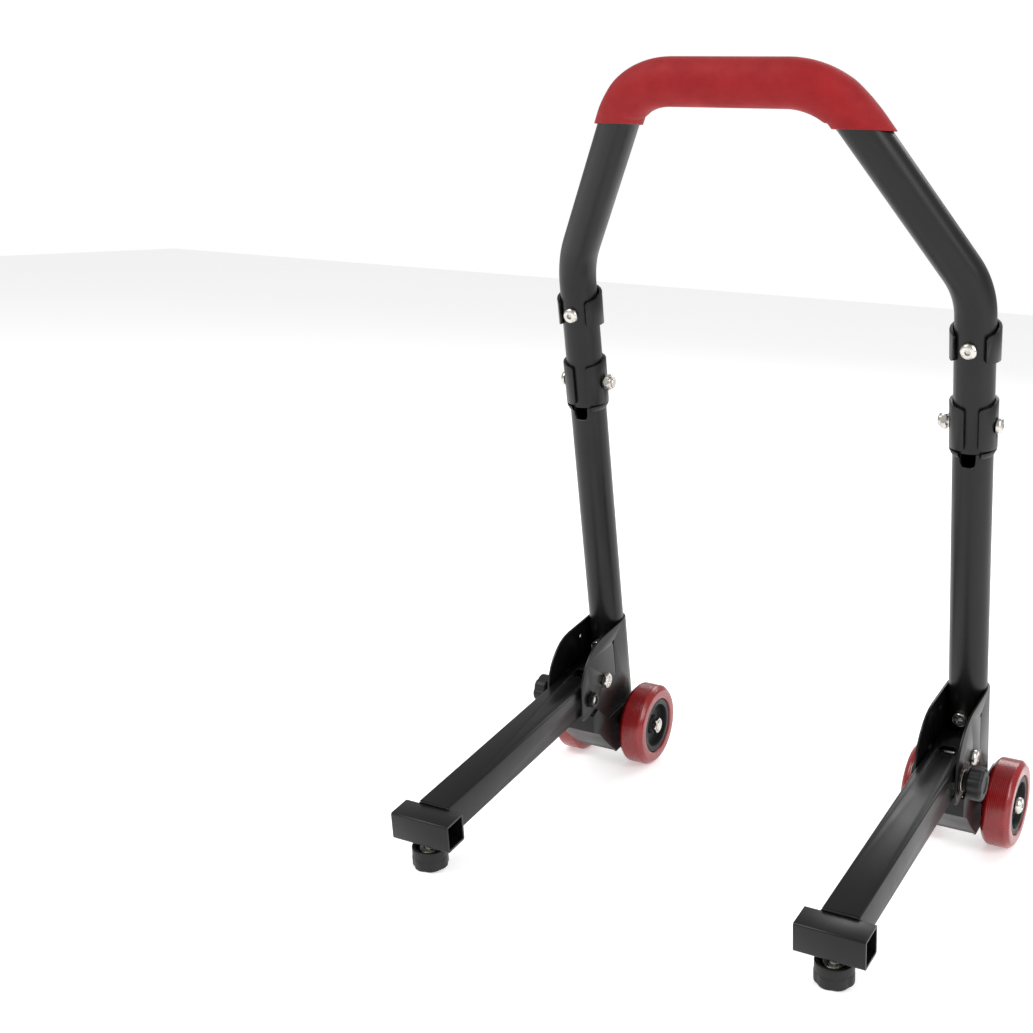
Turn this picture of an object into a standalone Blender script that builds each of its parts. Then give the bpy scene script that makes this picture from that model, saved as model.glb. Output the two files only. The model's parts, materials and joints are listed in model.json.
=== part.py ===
"""Front paddock stand: a bent handle bow bolted onto two folding, wheeled legs.

Drawing frame, in metres: X runs across the stand, Y points to the back and Z is square to the legs.
Its origin is midway between the two uprights, at mid height of the leg tubes. Each upright leans
forward in that frame. The stand rests on its wheels and on its clamp knobs, which tips the drawing
frame forward, so one empty carries everything and turns it until the floor is level. In the finished
model the origin is on the floor, under the middle of the stand.
"""
import math

import bmesh
import bpy
import numpy as np
from mathutils import Matrix, Vector

# Overall layout
HALF_SPACING = 0.180            # middle of the stand to each upright
UPRIGHT_LEAN = math.radians(4.24)
LEG_FRONT = 0.3225              # front end of the leg tube, ahead of the uprights
MID_BEND_HEIGHT = 0.4154        # where the bow leaves the uprights' line, measured along them
BOW_CORNER_HALF = 0.0838        # corners of the bow's centreline
BOW_CORNER_FORWARD = 0.0981
BOW_CORNER_HEIGHT = 0.5824
SIDES = (("left", -1.0), ("right", 1.0))

# Clearances
FIT_GAP = 0.0003                # between pieces that touch
LEG_SIDE_GAP = 0.0020           # leg tube to each cheek of its bracket
WHEEL_SIDE_GAP = 0.0025         # wheel to the yoke beside it

# Round tube of the bow and the uprights
TUBE_RADIUS = 0.0167
TUBE_WALL = 0.0025
MID_BEND_RADIUS = 0.075
CORNER_BEND_RADIUS = 0.058
SPLICE_HEIGHT = 0.2800          # where the bow tube stands on the upright tube
UPRIGHT_BOTTOM = -0.0450
NOTCH_WIDTH = 0.0140
NOTCH_DEPTH = 0.0120
NOTCH_CORNER = 0.0035
BEND_STEP = math.radians(9.0)

# Foam sleeve on the bow
GRIP_WALL = 0.0024
GRIP_DROP = 0.0304              # below each corner of the bow; the ends are cut level

# Splice collar: one wrapped sheet with two bands and a back spine
COLLAR_WALL = 0.0025
COLLAR_FLARE = 0.0011           # growth of the upper band's radius
UPPER_BAND_BACKSET = 0.0010
LOWER_BAND = (0.2805, 0.3225)   # bottom and top at the back
LOWER_BAND_FRONT = (0.2840, 0.3200)
UPPER_BAND = (0.3565, 0.3895)
UPPER_BAND_FRONT = (0.3593, 0.3815)
LOWER_ARM_ANGLES = (-172.0, 152.0)
UPPER_ARM_ANGLES = (-139.0, 139.0)
SPINE_HALF_ANGLE = 24.0
COLLAR_CORNER = 0.0030
COLLAR_PLAIN_POINTS = {0, 1, 4, 7, 10, 13, 16, 19}      # outline points that stay unrounded
LOCK_BOLT_HEIGHT = 0.3703
CROSS_BOLT_HEIGHT = 0.3017

# Leg, receiver and clamp foot
LEG_WALL = 0.0020
LEG_REAR = 0.0260               # rear end, ahead of the uprights
LEG_TOP_HOLE_RADIUS = 0.0075
LEG_TOP_HOLE_FORWARD = 0.0610
HOOK_SWEEP = 95.0               # degrees of leg travel that the hook notch clears
TUBE_CORNER_SHARE = 0.9         # outer corner radius of a square tube, in walls
RECEIVER_SIZE = 0.0250
RECEIVER_WALL = 0.0020
RECEIVER_LENGTH = 0.0560
FOOT_KNOB_RADIUS = 0.0156
FOOT_KNOB_TOP = 0.0060          # below the receiver
FOOT_KNOB_HEIGHT = 0.0180
FOOT_CUP_RADIUS = 0.0125
FOOT_CUP_DEPTH = 0.0040
FOOT_CUP_FLOOR_RADIUS = 0.0106
FOOT_RIM_RADIUS = 0.0151
FOOT_RIM_BOTTOM = 0.0072        # below the knob's top
FOOT_LOBE_TOP = 0.0090
FOOT_SCREW_RADIUS = 0.0040
FOOT_SCREW_TIP = 0.0010         # above the receiver's floor
FOOT_WASHER_RADIUS = 0.0085
FOOT_WASHER_WALL = 0.0014

# Folded sheet bracket that holds the upright and the leg
SHEET = 0.0018
CHEEK_TOP = 0.0505
CHEEK_ARC_CENTRE = (-0.0490, 0.0050)
CHEEK_ARC_RADIUS = 0.0455
CHEEK_TIP_HEIGHT = -0.0190
CHEEK_TIP_RADIUS = 0.0050
CHEEK_BOTTOM = -0.0500
CHEEK_HEEL_FORWARD = 0.0560
RELIEF_HOLE = (-0.0273, 0.0365)
RELIEF_HOLE_RADIUS = 0.0022
RELIEF_SLIT_WIDTH = 0.0008
RELIEF_SLIT_FOOT = (-0.0245, 0.0010)

# Wheel yoke welded over the bracket's lower end
YOKE_SHEET = 0.0020
YOKE_FRONT = ((-0.0780, -0.0200), (-0.0780, -0.0380), (-0.0670, -0.0450), (-0.0590, -0.0550),
              (-0.0450, -0.0700), (-0.0370, -0.0770))
YOKE_GABLE = (-0.0680, -0.0170)
YOKE_SHOULDER = (-0.0480, -0.0370)
YOKE_REAR = 0.0210
YOKE_BOTTOM = -0.0805

# Wheels
WHEEL_RADIUS = 0.0402
WHEEL_WIDTH = 0.0260
WHEEL_FACE_HALF = 0.0086
WHEEL_SHOULDER = (0.0015, 0.0018)       # in from the side, and down from the face
WHEEL_SIDE_EDGE = 0.0046                # down from the face
TREAD_CHAMFER = 0.0020
AXLE_PLACE = (0.0032, -0.0641)
AXLE_RADIUS = 0.0050
TREAD_INNER_RADIUS = 0.0273
HUB_LIP = 0.0025
HUB_DISH_DEPTH = 0.0080
HUB_BOSS_RADIUS = 0.0095
HUB_BOSS_END_RADIUS = 0.0081
HUB_DRAFT = 0.0012              # fall of the dish's wall toward the web

# Fasteners
BOLT_RADIUS = 0.0040
BUTTON_RADIUS = 0.0070
BUTTON_HEIGHT = 0.0044
BUTTON_PROFILE = ((1.0, 0.45), (0.75, 0.78), (0.35, 0.96), (0.0, 1.0))     # shares of height and radius
BOLT_PROTRUSION = 0.0010        # past a nut
NUT_RADIUS = 0.0075
NUT_HEIGHT = 0.0070
CAP_RADIUS = 0.0065
CAP_HEIGHT = 0.0080
CAP_CHAMFER = 0.0007
CROSS_NUT_STANDOFF = 0.0012
UPRIGHT_BOLT_HEIGHT = 0.0284
PIVOT_PLACE = (-0.0478, 0.0051)
PIVOT_HEAD_RADIUS = 0.0072
PIVOT_NUT_HEIGHT = 0.0042
PIVOT_NUT_CROWN = 0.0011        # height of its domed end
PIVOT_NUT_EDGE = 0.0005         # fall of its radius below the dome
PIVOT_NUT_LAND = 0.0007         # flat ring round its bore
STUD_PLACE = (-0.0771, -0.0020)
KNOB_RADIUS = 0.0150
KNOB_THICKNESS = 0.0175
KNOB_BOSS_RADIUS = 0.0092
KNOB_BOSS_LENGTH = 0.0035
KNOB_CHAMFER = (0.0019, 0.0021)         # along and in from the lobes' edges
KNOB_BORE_DEPTH = 0.0120
KNOB_LOBES = 7
LOBE_DEPTH = 0.09
LOCK_WASHER_WALL = 0.0012
LOCK_WASHER_RADIUS = 0.0095
LOCK_NUT_HEIGHT = 0.0050
STUD_ENGAGEMENT = 0.0035        # of the stud in its nut
AXLE_HEAD_RADIUS = 0.0080
AXLE_HEAD_HEIGHT = 0.0058
AXLE_NUT_HEIGHT = 0.0042

# How finely round shapes are cut
TUBE_SEGMENTS = 24
BOLT_SEGMENTS = 16
NUT_SEGMENTS = 24
WHEEL_SEGMENTS = 32
KNOB_SEGMENTS = 4 * KNOB_LOBES
SMOOTH_ANGLE = math.radians(35.0)

X_AXIS = Vector((1.0, 0.0, 0.0))
Y_AXIS = Vector((0.0, 1.0, 0.0))
Z_AXIS = Vector((0.0, 0.0, 1.0))


# Values worked out from the driving dimensions

COLLAR_INNER = TUBE_RADIUS + FIT_GAP
BRACKET_INNER = TUBE_RADIUS + FIT_GAP
LEG_SIZE = 2 * (BRACKET_INNER - LEG_SIDE_GAP)
BRACKET_OUTER = BRACKET_INNER + SHEET
YOKE_INNER = BRACKET_OUTER + FIT_GAP
YOKE_OUTER = YOKE_INNER + YOKE_SHEET
WHEEL_OFFSET = YOKE_OUTER + WHEEL_SIDE_GAP + WHEEL_WIDTH / 2     # upright's middle plane to the wheel's
RECEIVER_FORWARD = LEG_FRONT + FIT_GAP + RECEIVER_SIZE / 2
FOOT_KNOB_BOTTOM = RECEIVER_SIZE / 2 + FOOT_KNOB_TOP + FOOT_KNOB_HEIGHT


def rest_tilt():
    """Angle that brings the wheels and the front edges of the clamp knobs onto one level floor."""
    reach = AXLE_PLACE[0] + RECEIVER_FORWARD + FOOT_KNOB_RADIUS
    rise = AXLE_PLACE[1] + FOOT_KNOB_BOTTOM
    return math.asin(WHEEL_RADIUS / math.hypot(reach, rise)) - math.atan2(rise, reach)


def stand_matrix():
    """Place of the drawing frame in the finished model."""
    tilt = rest_tilt()
    turn = Matrix.Rotation(tilt, 4, "X")
    axle = turn @ Vector((0.0, AXLE_PLACE[0], AXLE_PLACE[1]))
    nose = turn @ Vector((0.0, -RECEIVER_FORWARD - RECEIVER_SIZE / 2, RECEIVER_SIZE / 2))
    middle = (axle.y + WHEEL_RADIUS + nose.y) / 2
    return Matrix.Translation((0.0, -middle, WHEEL_RADIUS - axle.z)) @ turn


def upright_matrix(side):
    """Frame of one upright: Z runs up its middle line and Y points to the back."""
    return Matrix.Translation((side * HALF_SPACING, 0.0, 0.0)) @ Matrix.Rotation(UPRIGHT_LEAN, 4, "X")


def leg_matrix(side):
    """Frame of one leg: the drawing frame moved to that leg's middle plane."""
    return Matrix.Translation((side * HALF_SPACING, 0.0, 0.0))


# Materials

def finish(name, colour, roughness, metallic=0.0):
    """A plain Principled material."""
    material = bpy.data.materials.new(name)
    material.use_nodes = True
    shader = material.node_tree.nodes["Principled BSDF"]
    shader.inputs["Base Color"].default_value = (*colour, 1.0)
    shader.inputs["Roughness"].default_value = roughness
    shader.inputs["Metallic"].default_value = metallic
    return material


# Scene objects

def clear_scene():
    """Remove every object that the file was opened with."""
    for obj in list(bpy.data.objects):
        bpy.data.objects.remove(obj, do_unlink=True)


def add_empty(name, parent=None, matrix=None):
    """An empty that carries other objects; matrix is relative to its parent."""
    empty = bpy.data.objects.new(name, None)
    bpy.context.collection.objects.link(empty)
    empty.parent = parent
    if matrix is not None:
        empty.matrix_local = matrix
    return empty


def add_part(name, bm, material, parent, matrix=None):
    """Make a named sub-part of bm, drawn in its own frame, which matrix places under its parent."""
    bmesh.ops.remove_doubles(bm, verts=bm.verts, dist=1e-7)
    bmesh.ops.recalc_face_normals(bm, faces=bm.faces)
    mesh = bpy.data.meshes.new(name)
    bm.to_mesh(mesh)
    bm.free()
    mesh.materials.append(material)
    mesh.shade_smooth()
    mesh.set_sharp_from_angle(angle=SMOOTH_ANGLE)
    obj = bpy.data.objects.new(name, mesh)
    bpy.context.collection.objects.link(obj)
    obj.parent = parent
    if matrix is not None:
        obj.matrix_local = matrix
    return obj


def cut(obj, cutters, operation="DIFFERENCE"):
    """Cut obj with hidden bodies, each drawn in obj's own frame."""
    for number, bm in enumerate(cutters):
        bmesh.ops.recalc_face_normals(bm, faces=bm.faces)
        mesh = bpy.data.meshes.new(obj.name + "_cutter")
        bm.to_mesh(mesh)
        bm.free()
        tool = bpy.data.objects.new(f"{obj.name}_cutter_{number}", mesh)
        bpy.context.collection.objects.link(tool)
        tool.parent = obj
        tool.hide_render = True
        tool.display_type = "WIRE"
        boolean = obj.modifiers.new(f"cut_{number}", "BOOLEAN")
        boolean.operation = operation
        boolean.solver = "EXACT"
        boolean.object = tool


# Outlines and solids

def rounded(points, steps=3):
    """Closed outline of (a, b, radius) corners, with each corner turned into an arc."""
    outline = []
    count = len(points)
    for index, (a, b, radius) in enumerate(points):
        corner = Vector((a, b))
        if radius == 0.0:
            outline.append(corner)
            continue
        back = (Vector(points[index - 1][:2]) - corner).normalized()
        ahead = (Vector(points[(index + 1) % count][:2]) - corner).normalized()
        half = back.angle(ahead) / 2
        centre = corner + (back + ahead).normalized() * (radius / math.sin(half))
        start = corner + back * (radius / math.tan(half)) - centre
        turn = start.angle_signed(corner + ahead * (radius / math.tan(half)) - centre)
        for step in range(steps + 1):
            spoke = start.copy()
            spoke.rotate(Matrix.Rotation(-turn * step / steps, 2))
            outline.append(centre + spoke)
    return outline


def arc(centre, radius, first, last, steps):
    """Points of a circle's arc between two angles in degrees."""
    angles = np.radians(np.linspace(first, last, steps + 1))
    return [(centre[0] + radius * math.cos(t), centre[1] + radius * math.sin(t)) for t in angles]


def prism(outline, low, high, place):
    """Solid between low and high on one axis; place(a, b, height) gives each point of the outline."""
    bm = bmesh.new()
    bottom = [bm.verts.new(place(p[0], p[1], low)) for p in outline]
    top = [bm.verts.new(place(p[0], p[1], high)) for p in outline]
    bm.faces.new(bottom)
    bm.faces.new(list(reversed(top)))
    for index in range(len(outline)):
        nxt = (index + 1) % len(outline)
        bm.faces.new((bottom[index], top[index], top[nxt], bottom[nxt]))
    return bm


def across(outline, low, high):
    """Prism along X of an outline in (Y, Z)."""
    return prism(outline, low, high, lambda a, b, height: (height, a, b))


def upward(outline, low, high):
    """Prism along Z of an outline in (X, Y)."""
    return prism(outline, low, high, lambda a, b, height: (a, b, height))


def round_factor(_angle):
    """Outline factor of a plain circle."""
    return 1.0


def hexagon(angle):
    """Outline factor that turns a circle into the hexagon inside it."""
    side = math.radians(60.0)
    return math.cos(side / 2) / math.cos((angle % side) - side / 2)


def lobed(angle):
    """Outline factor of a star-grip knob."""
    return 1.0 - LOBE_DEPTH * (0.5 - 0.5 * math.cos(KNOB_LOBES * angle)) ** 2


def turned(stations, segments, start=(0.0, 0.0, 0.0), axis=Z_AXIS):
    """Solid turned about an axis from (along, radius[, outline factor]) stations.

    The stations are a closed loop, or run from the axis to the axis.
    """
    turn = axis.to_track_quat("Z", "Y").to_matrix()
    bm = bmesh.new()
    rings = []
    for station in stations:
        along, radius = station[:2]
        factor = station[2] if len(station) > 2 else round_factor
        if radius == 0.0:
            rings.append([bm.verts.new(Vector(start) + turn @ Vector((0.0, 0.0, along)))])
            continue
        ring = []
        for index in range(segments):
            angle = 2 * math.pi * index / segments
            reach = radius * factor(angle)
            spoke = Vector((reach * math.cos(angle), reach * math.sin(angle), along))
            ring.append(bm.verts.new(Vector(start) + turn @ spoke))
        rings.append(ring)
    pairs = list(zip(rings, rings[1:]))
    if len(rings[0]) > 1:
        pairs.append((rings[-1], rings[0]))
    for first, second in pairs:
        for index in range(segments):
            nxt = (index + 1) % segments
            if len(first) == 1:
                bm.faces.new((first[0], second[index], second[nxt]))
            elif len(second) == 1:
                bm.faces.new((first[index], first[nxt], second[0]))
            else:
                bm.faces.new((first[index], first[nxt], second[nxt], second[index]))
    bmesh.ops.recalc_face_normals(bm, faces=bm.faces)
    return bm


def rod(start, axis, length, radius, segments=BOLT_SEGMENTS):
    """Plain round bar."""
    return turned([(0.0, 0.0), (0.0, radius), (length, radius), (length, 0.0)], segments, start, axis)


def pipe(low, high, outer, inner, segments, start=(0.0, 0.0, 0.0), axis=Z_AXIS):
    """Plain tube or washer, open at both ends."""
    return turned([(low, inner), (low, outer), (high, outer), (high, inner)], segments, start, axis)


def button_bolt(start, axis, shank_length, shank_radius, head_radius, head_height):
    """Domed bolt; start is under the head and axis points down the shank."""
    stations = [(-head_height, 0.0)]
    stations += [(-height * head_height, radius * head_radius) for height, radius in BUTTON_PROFILE]
    stations += [(0.0, shank_radius), (shank_length, shank_radius), (shank_length, 0.0)]
    return turned(stations, BOLT_SEGMENTS, start, axis)


def hex_nut(start, axis, height, corner_radius, bore_radius):
    """Nut that stands on start, with its bore along axis."""
    stations = [
        (0.0, bore_radius),
        (0.0, corner_radius, hexagon),
        (height, corner_radius, hexagon),
        (height, bore_radius),
    ]
    return turned(stations, NUT_SEGMENTS, start, axis)


def square_tube(low, high, size, wall, place):
    """Square tube with small rounded edges, open at both ends."""
    half = size / 2
    core = half - wall
    corner = wall * TUBE_CORNER_SHARE
    quadrants = ((1, 1), (-1, 1), (-1, -1), (1, -1))
    outer = rounded([(a * half, b * half, corner) for a, b in quadrants])
    inner = [(a * core, b * core) for a, b in quadrants]
    steps = len(outer) // 4
    bm = bmesh.new()
    loops = {}
    for name, outline in (("outer", outer), ("inner", inner)):
        for height in (low, high):
            loops[name, height] = [bm.verts.new(place(p[0], p[1], height)) for p in outline]
    for name, count in (("outer", len(outer)), ("inner", len(inner))):
        for index in range(count):
            nxt = (index + 1) % count
            first, second = loops[name, low], loops[name, high]
            bm.faces.new((first[index], first[nxt], second[nxt], second[index]))
    for height in (low, high):
        edge, core_loop = loops["outer", height], loops["inner", height]
        for corner_index in range(4):
            for step in range(steps - 1):
                index = corner_index * steps + step
                bm.faces.new((edge[index], edge[index + 1], core_loop[corner_index]))
            last = (corner_index + 1) * steps - 1
            nxt = (corner_index + 1) % 4
            after = (last + 1) % len(edge)
            bm.faces.new((edge[last], edge[after], core_loop[nxt], core_loop[corner_index]))
    return bm


# The bow

def bow_corners():
    """Corners of the bow's centreline, from the left end to the right end."""
    points = []
    for _name, side in SIDES:
        upright = upright_matrix(side)
        half = [
            upright @ Vector((0.0, 0.0, SPLICE_HEIGHT + FIT_GAP)),
            upright @ Vector((0.0, 0.0, MID_BEND_HEIGHT)),
            Vector((side * BOW_CORNER_HALF, -BOW_CORNER_FORWARD, BOW_CORNER_HEIGHT)),
        ]
        points.extend(half if side < 0 else reversed(half))
    return points


def filleted(points, radii):
    """Path of straight runs through points, with an arc of the given radius at each inner corner."""
    path = [points[0]]
    for before, corner, after, radius in zip(points, points[1:], points[2:], radii):
        back = (before - corner).normalized()
        ahead = (after - corner).normalized()
        half = back.angle(ahead) / 2
        centre = corner + (back + ahead).normalized() * (radius / math.sin(half))
        start = corner + back * (radius / math.tan(half)) - centre
        bend = math.pi - 2 * half
        steps = max(2, round(bend / BEND_STEP))
        axis = back.cross(ahead)
        for step in range(steps + 1):
            path.append(centre + Matrix.Rotation(-bend * step / steps, 3, axis) @ start)
    path.append(points[-1])
    return path


def bent_tube(path, outer, inner):
    """Tube along a path, open at both ends; each ring is square to the path."""
    points = np.array([tuple(p) for p in path])
    steps = np.diff(points, axis=0)
    steps /= np.linalg.norm(steps, axis=1)[:, None]
    tangents = np.vstack((steps[:1], steps[:-1] + steps[1:], steps[-1:]))
    tangents /= np.linalg.norm(tangents, axis=1)[:, None]
    normal = np.cross(tangents[0], (1.0, 0.0, 0.0))
    angles = np.linspace(0.0, 2 * math.pi, TUBE_SEGMENTS, endpoint=False)
    bm = bmesh.new()
    rings = {"outer": [], "inner": []}
    for point, tangent in zip(points, tangents):
        normal = normal - tangent * normal.dot(tangent)
        normal /= np.linalg.norm(normal)
        binormal = np.cross(tangent, normal)
        spokes = np.outer(np.cos(angles), normal) + np.outer(np.sin(angles), binormal)
        rings["outer"].append([bm.verts.new(p) for p in point + outer * spokes])
        rings["inner"].append([bm.verts.new(p) for p in point + inner * spokes])
    bands = list(zip(rings["outer"], rings["outer"][1:])) + list(zip(rings["inner"], rings["inner"][1:]))
    bands.append((rings["outer"][0], rings["inner"][0]))
    bands.append((rings["outer"][-1], rings["inner"][-1]))
    for first, second in bands:
        for index in range(TUBE_SEGMENTS):
            nxt = (index + 1) % TUBE_SEGMENTS
            bm.faces.new((first[index], first[nxt], second[nxt], second[index]))
    return bm


def make_bow(parent, finishes):
    """Handle bow with its bolt holes, and the foam sleeve round its top."""
    corners = bow_corners()
    radii = (MID_BEND_RADIUS, CORNER_BEND_RADIUS, CORNER_BEND_RADIUS, MID_BEND_RADIUS)
    path = filleted(corners, radii)
    tube = bent_tube(path, TUBE_RADIUS, TUBE_RADIUS - TUBE_WALL)
    bow = add_part("handle_bow", tube, finishes["black_paint"], parent)
    holes = []
    for _name, side in SIDES:
        upright = upright_matrix(side)
        reach = 2 * TUBE_RADIUS
        for height, axis in ((LOCK_BOLT_HEIGHT, Y_AXIS), (CROSS_BOLT_HEIGHT, X_AXIS)):
            start = Z_AXIS * height - axis * reach
            hole = rod(start, axis, 2 * reach, BOLT_RADIUS + FIT_GAP)
            bmesh.ops.transform(hole, matrix=upright, verts=hole.verts)
            holes.append(hole)
    cut(bow, holes)
    top = filleted(corners[1:5], (CORNER_BEND_RADIUS, CORNER_BEND_RADIUS))
    inner = TUBE_RADIUS + FIT_GAP
    sleeve = add_part("grip_sleeve", bent_tube(top, inner + GRIP_WALL, inner), finishes["red_foam"], parent)
    level = Matrix.Rotation(-rest_tilt(), 4, "X")
    height = (level.inverted() @ corners[2]).z - GRIP_DROP
    wide = 2 * HALF_SPACING
    below = upward([(-wide, -wide), (wide, -wide), (wide, wide), (-wide, wide)], -height, height)
    bmesh.ops.transform(below, matrix=level, verts=below.verts)
    cut(sleeve, [below])


# The uprights and their splice collars

def make_upright(name, side, parent, finishes):
    """Upright tube with the notch in its top edge and its cross hole for the bracket bolt."""
    frame = upright_matrix(side)
    inner = TUBE_RADIUS - TUBE_WALL
    bm = pipe(UPRIGHT_BOTTOM, SPLICE_HEIGHT, TUBE_RADIUS, inner, TUBE_SEGMENTS)
    tube = add_part(f"upright_tube_{name}", bm, finishes["black_paint"], parent, frame)
    half = NOTCH_WIDTH / 2
    top = SPLICE_HEIGHT + NOTCH_DEPTH
    bottom = SPLICE_HEIGHT - NOTCH_DEPTH
    notch = rounded([
        (-half, top, 0.0),
        (-half, bottom, NOTCH_CORNER),
        (half, bottom, NOTCH_CORNER),
        (half, top, 0.0),
    ])
    slot = prism(notch, -2 * TUBE_RADIUS, 0.0, lambda a, b, height: (a, height, b))
    start = Z_AXIS * UPRIGHT_BOLT_HEIGHT - Y_AXIS * 2 * TUBE_RADIUS
    hole = rod(start, Y_AXIS, 4 * TUBE_RADIUS, BOLT_RADIUS + FIT_GAP)
    cut(tube, [slot, hole])


def collar_outline():
    """Flat outline of the collar in (angle from the back in degrees, height)."""
    left, right = LOWER_ARM_ANGLES
    upper_left, upper_right = UPPER_ARM_ANGLES
    spine = SPINE_HALF_ANGLE
    return [
        (0.0, LOWER_BAND[0]),
        (right * 0.5, LOWER_BAND[0]),
        (right, LOWER_BAND_FRONT[0]),
        (right, LOWER_BAND_FRONT[1]),
        (right * 0.5, LOWER_BAND[1]),
        (spine, LOWER_BAND[1]),
        (spine, UPPER_BAND[0]),
        (upper_right * 0.5, UPPER_BAND[0]),
        (upper_right, UPPER_BAND_FRONT[0]),
        (upper_right, UPPER_BAND_FRONT[1]),
        (0.0, UPPER_BAND[1]),
        (upper_left, UPPER_BAND_FRONT[1]),
        (upper_left, UPPER_BAND_FRONT[0]),
        (upper_left * 0.5, UPPER_BAND[0]),
        (-spine, UPPER_BAND[0]),
        (-spine, LOWER_BAND[1]),
        (left * 0.5, LOWER_BAND[1]),
        (left, LOWER_BAND_FRONT[1]),
        (left, LOWER_BAND_FRONT[0]),
        (left * 0.5, LOWER_BAND[0]),
    ]


def collar_radius(height):
    """Inner radius of the collar at a height: round the tube below, a little wider above."""
    rise = (height - CROSS_BOLT_HEIGHT) / (LOCK_BOLT_HEIGHT - CROSS_BOLT_HEIGHT)
    return COLLAR_INNER + COLLAR_FLARE * min(max(rise, 0.0), 1.0)


def wrapped_sheet(outline, wall, facet_angle):
    """Wrap a flat outline in (angle, height) round the upright, from the inside out."""
    metres_per_degree = math.radians(1.0) * COLLAR_INNER
    corners = []
    for index, (angle, height) in enumerate(outline):
        radius = 0.0 if index in COLLAR_PLAIN_POINTS else COLLAR_CORNER
        corners.append((angle * metres_per_degree, height, radius))
    bm = prism(rounded(corners), 0.0, wall, lambda a, b, height: (a, b, height))
    widest = max(abs(corner[0]) for corner in corners)
    step = facet_angle * metres_per_degree
    for index in range(-int(widest / step), int(widest / step) + 1):
        geometry = bm.verts[:] + bm.edges[:] + bm.faces[:]
        place = X_AXIS * index * step
        bmesh.ops.bisect_plane(bm, geom=geometry, dist=1e-7, plane_co=place, plane_no=X_AXIS)
    bmesh.ops.triangulate(bm, faces=bm.faces)
    for vert in bm.verts:
        angle = vert.co.x / COLLAR_INNER
        height = vert.co.y
        radius = collar_radius(height) + vert.co.z
        backset = UPPER_BAND_BACKSET * (collar_radius(height) - COLLAR_INNER) / COLLAR_FLARE
        vert.co = (radius * math.sin(angle), radius * math.cos(angle) + backset, height)
    return bm


def make_splice(name, side, parent, finishes):
    """Collar that holds the bow on the upright, with its lock bolt and cross bolt."""
    frame = upright_matrix(side)
    facet = 360.0 / TUBE_SEGMENTS
    sheet = wrapped_sheet(collar_outline(), COLLAR_WALL, facet)
    collar = add_part(f"splice_collar_{name}", sheet, finishes["black_paint"], parent, frame)
    back = Y_AXIS
    outward = X_AXIS * side
    hole = BOLT_RADIUS + FIT_GAP
    cross_start = Z_AXIS * CROSS_BOLT_HEIGHT - X_AXIS * 2 * TUBE_RADIUS
    cut(collar, [
        rod(Z_AXIS * LOCK_BOLT_HEIGHT, back, 2 * TUBE_RADIUS, hole),
        rod(cross_start, X_AXIS, 4 * TUBE_RADIUS, hole),
    ])

    spine_back = collar_radius(LOCK_BOLT_HEIGHT) + UPPER_BAND_BACKSET + COLLAR_WALL + FIT_GAP
    seat = TUBE_RADIUS + FIT_GAP
    start = Z_AXIS * LOCK_BOLT_HEIGHT - back * seat
    length = seat + spine_back + NUT_HEIGHT + BOLT_PROTRUSION
    bolt = button_bolt(start, back, length, BOLT_RADIUS, BUTTON_RADIUS, BUTTON_HEIGHT)
    add_part(f"splice_lock_bolt_{name}", bolt, finishes["zinc_steel"], parent, frame)
    nut_start = Z_AXIS * LOCK_BOLT_HEIGHT + back * spine_back
    nut = hex_nut(nut_start, back, NUT_HEIGHT, NUT_RADIUS, hole)
    add_part(f"splice_lock_nut_{name}", nut, finishes["zinc_steel"], parent, frame)

    collar_face = COLLAR_INNER + COLLAR_WALL + FIT_GAP
    start = Z_AXIS * CROSS_BOLT_HEIGHT + outward * collar_face
    length = 2 * collar_face + CROSS_NUT_STANDOFF + NUT_HEIGHT + BOLT_PROTRUSION
    bolt = button_bolt(start, -outward, length, BOLT_RADIUS, BUTTON_RADIUS, BUTTON_HEIGHT)
    add_part(f"splice_cross_bolt_{name}", bolt, finishes["zinc_steel"], parent, frame)
    nut_start = Z_AXIS * CROSS_BOLT_HEIGHT - outward * (collar_face + CROSS_NUT_STANDOFF)
    nut = hex_nut(nut_start, -outward, NUT_HEIGHT, NUT_RADIUS, hole)
    add_part(f"splice_cross_nut_{name}", nut, finishes["zinc_steel"], parent, frame)


# The folded bracket and the wheel yoke

def cheek_outline():
    """Side view of the bracket in (Y, Z), wider than the sheet at the back."""
    front = CHEEK_ARC_CENTRE[0] - CHEEK_ARC_RADIUS
    behind = 2 * BRACKET_OUTER
    nose = arc(CHEEK_ARC_CENTRE, CHEEK_ARC_RADIUS, 90.0, 180.0, 8)
    tip_centre = (front + CHEEK_TIP_RADIUS, CHEEK_TIP_HEIGHT + CHEEK_TIP_RADIUS)
    tip = arc(tip_centre, CHEEK_TIP_RADIUS, 180.0, 270.0, 3)
    heel = [
        (YOKE_GABLE[0] - SHEET, CHEEK_TIP_HEIGHT),
        (-CHEEK_HEEL_FORWARD, CHEEK_BOTTOM),
        (behind, CHEEK_BOTTOM),
        (behind, CHEEK_TOP),
    ]
    return nose + tip + heel


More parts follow.
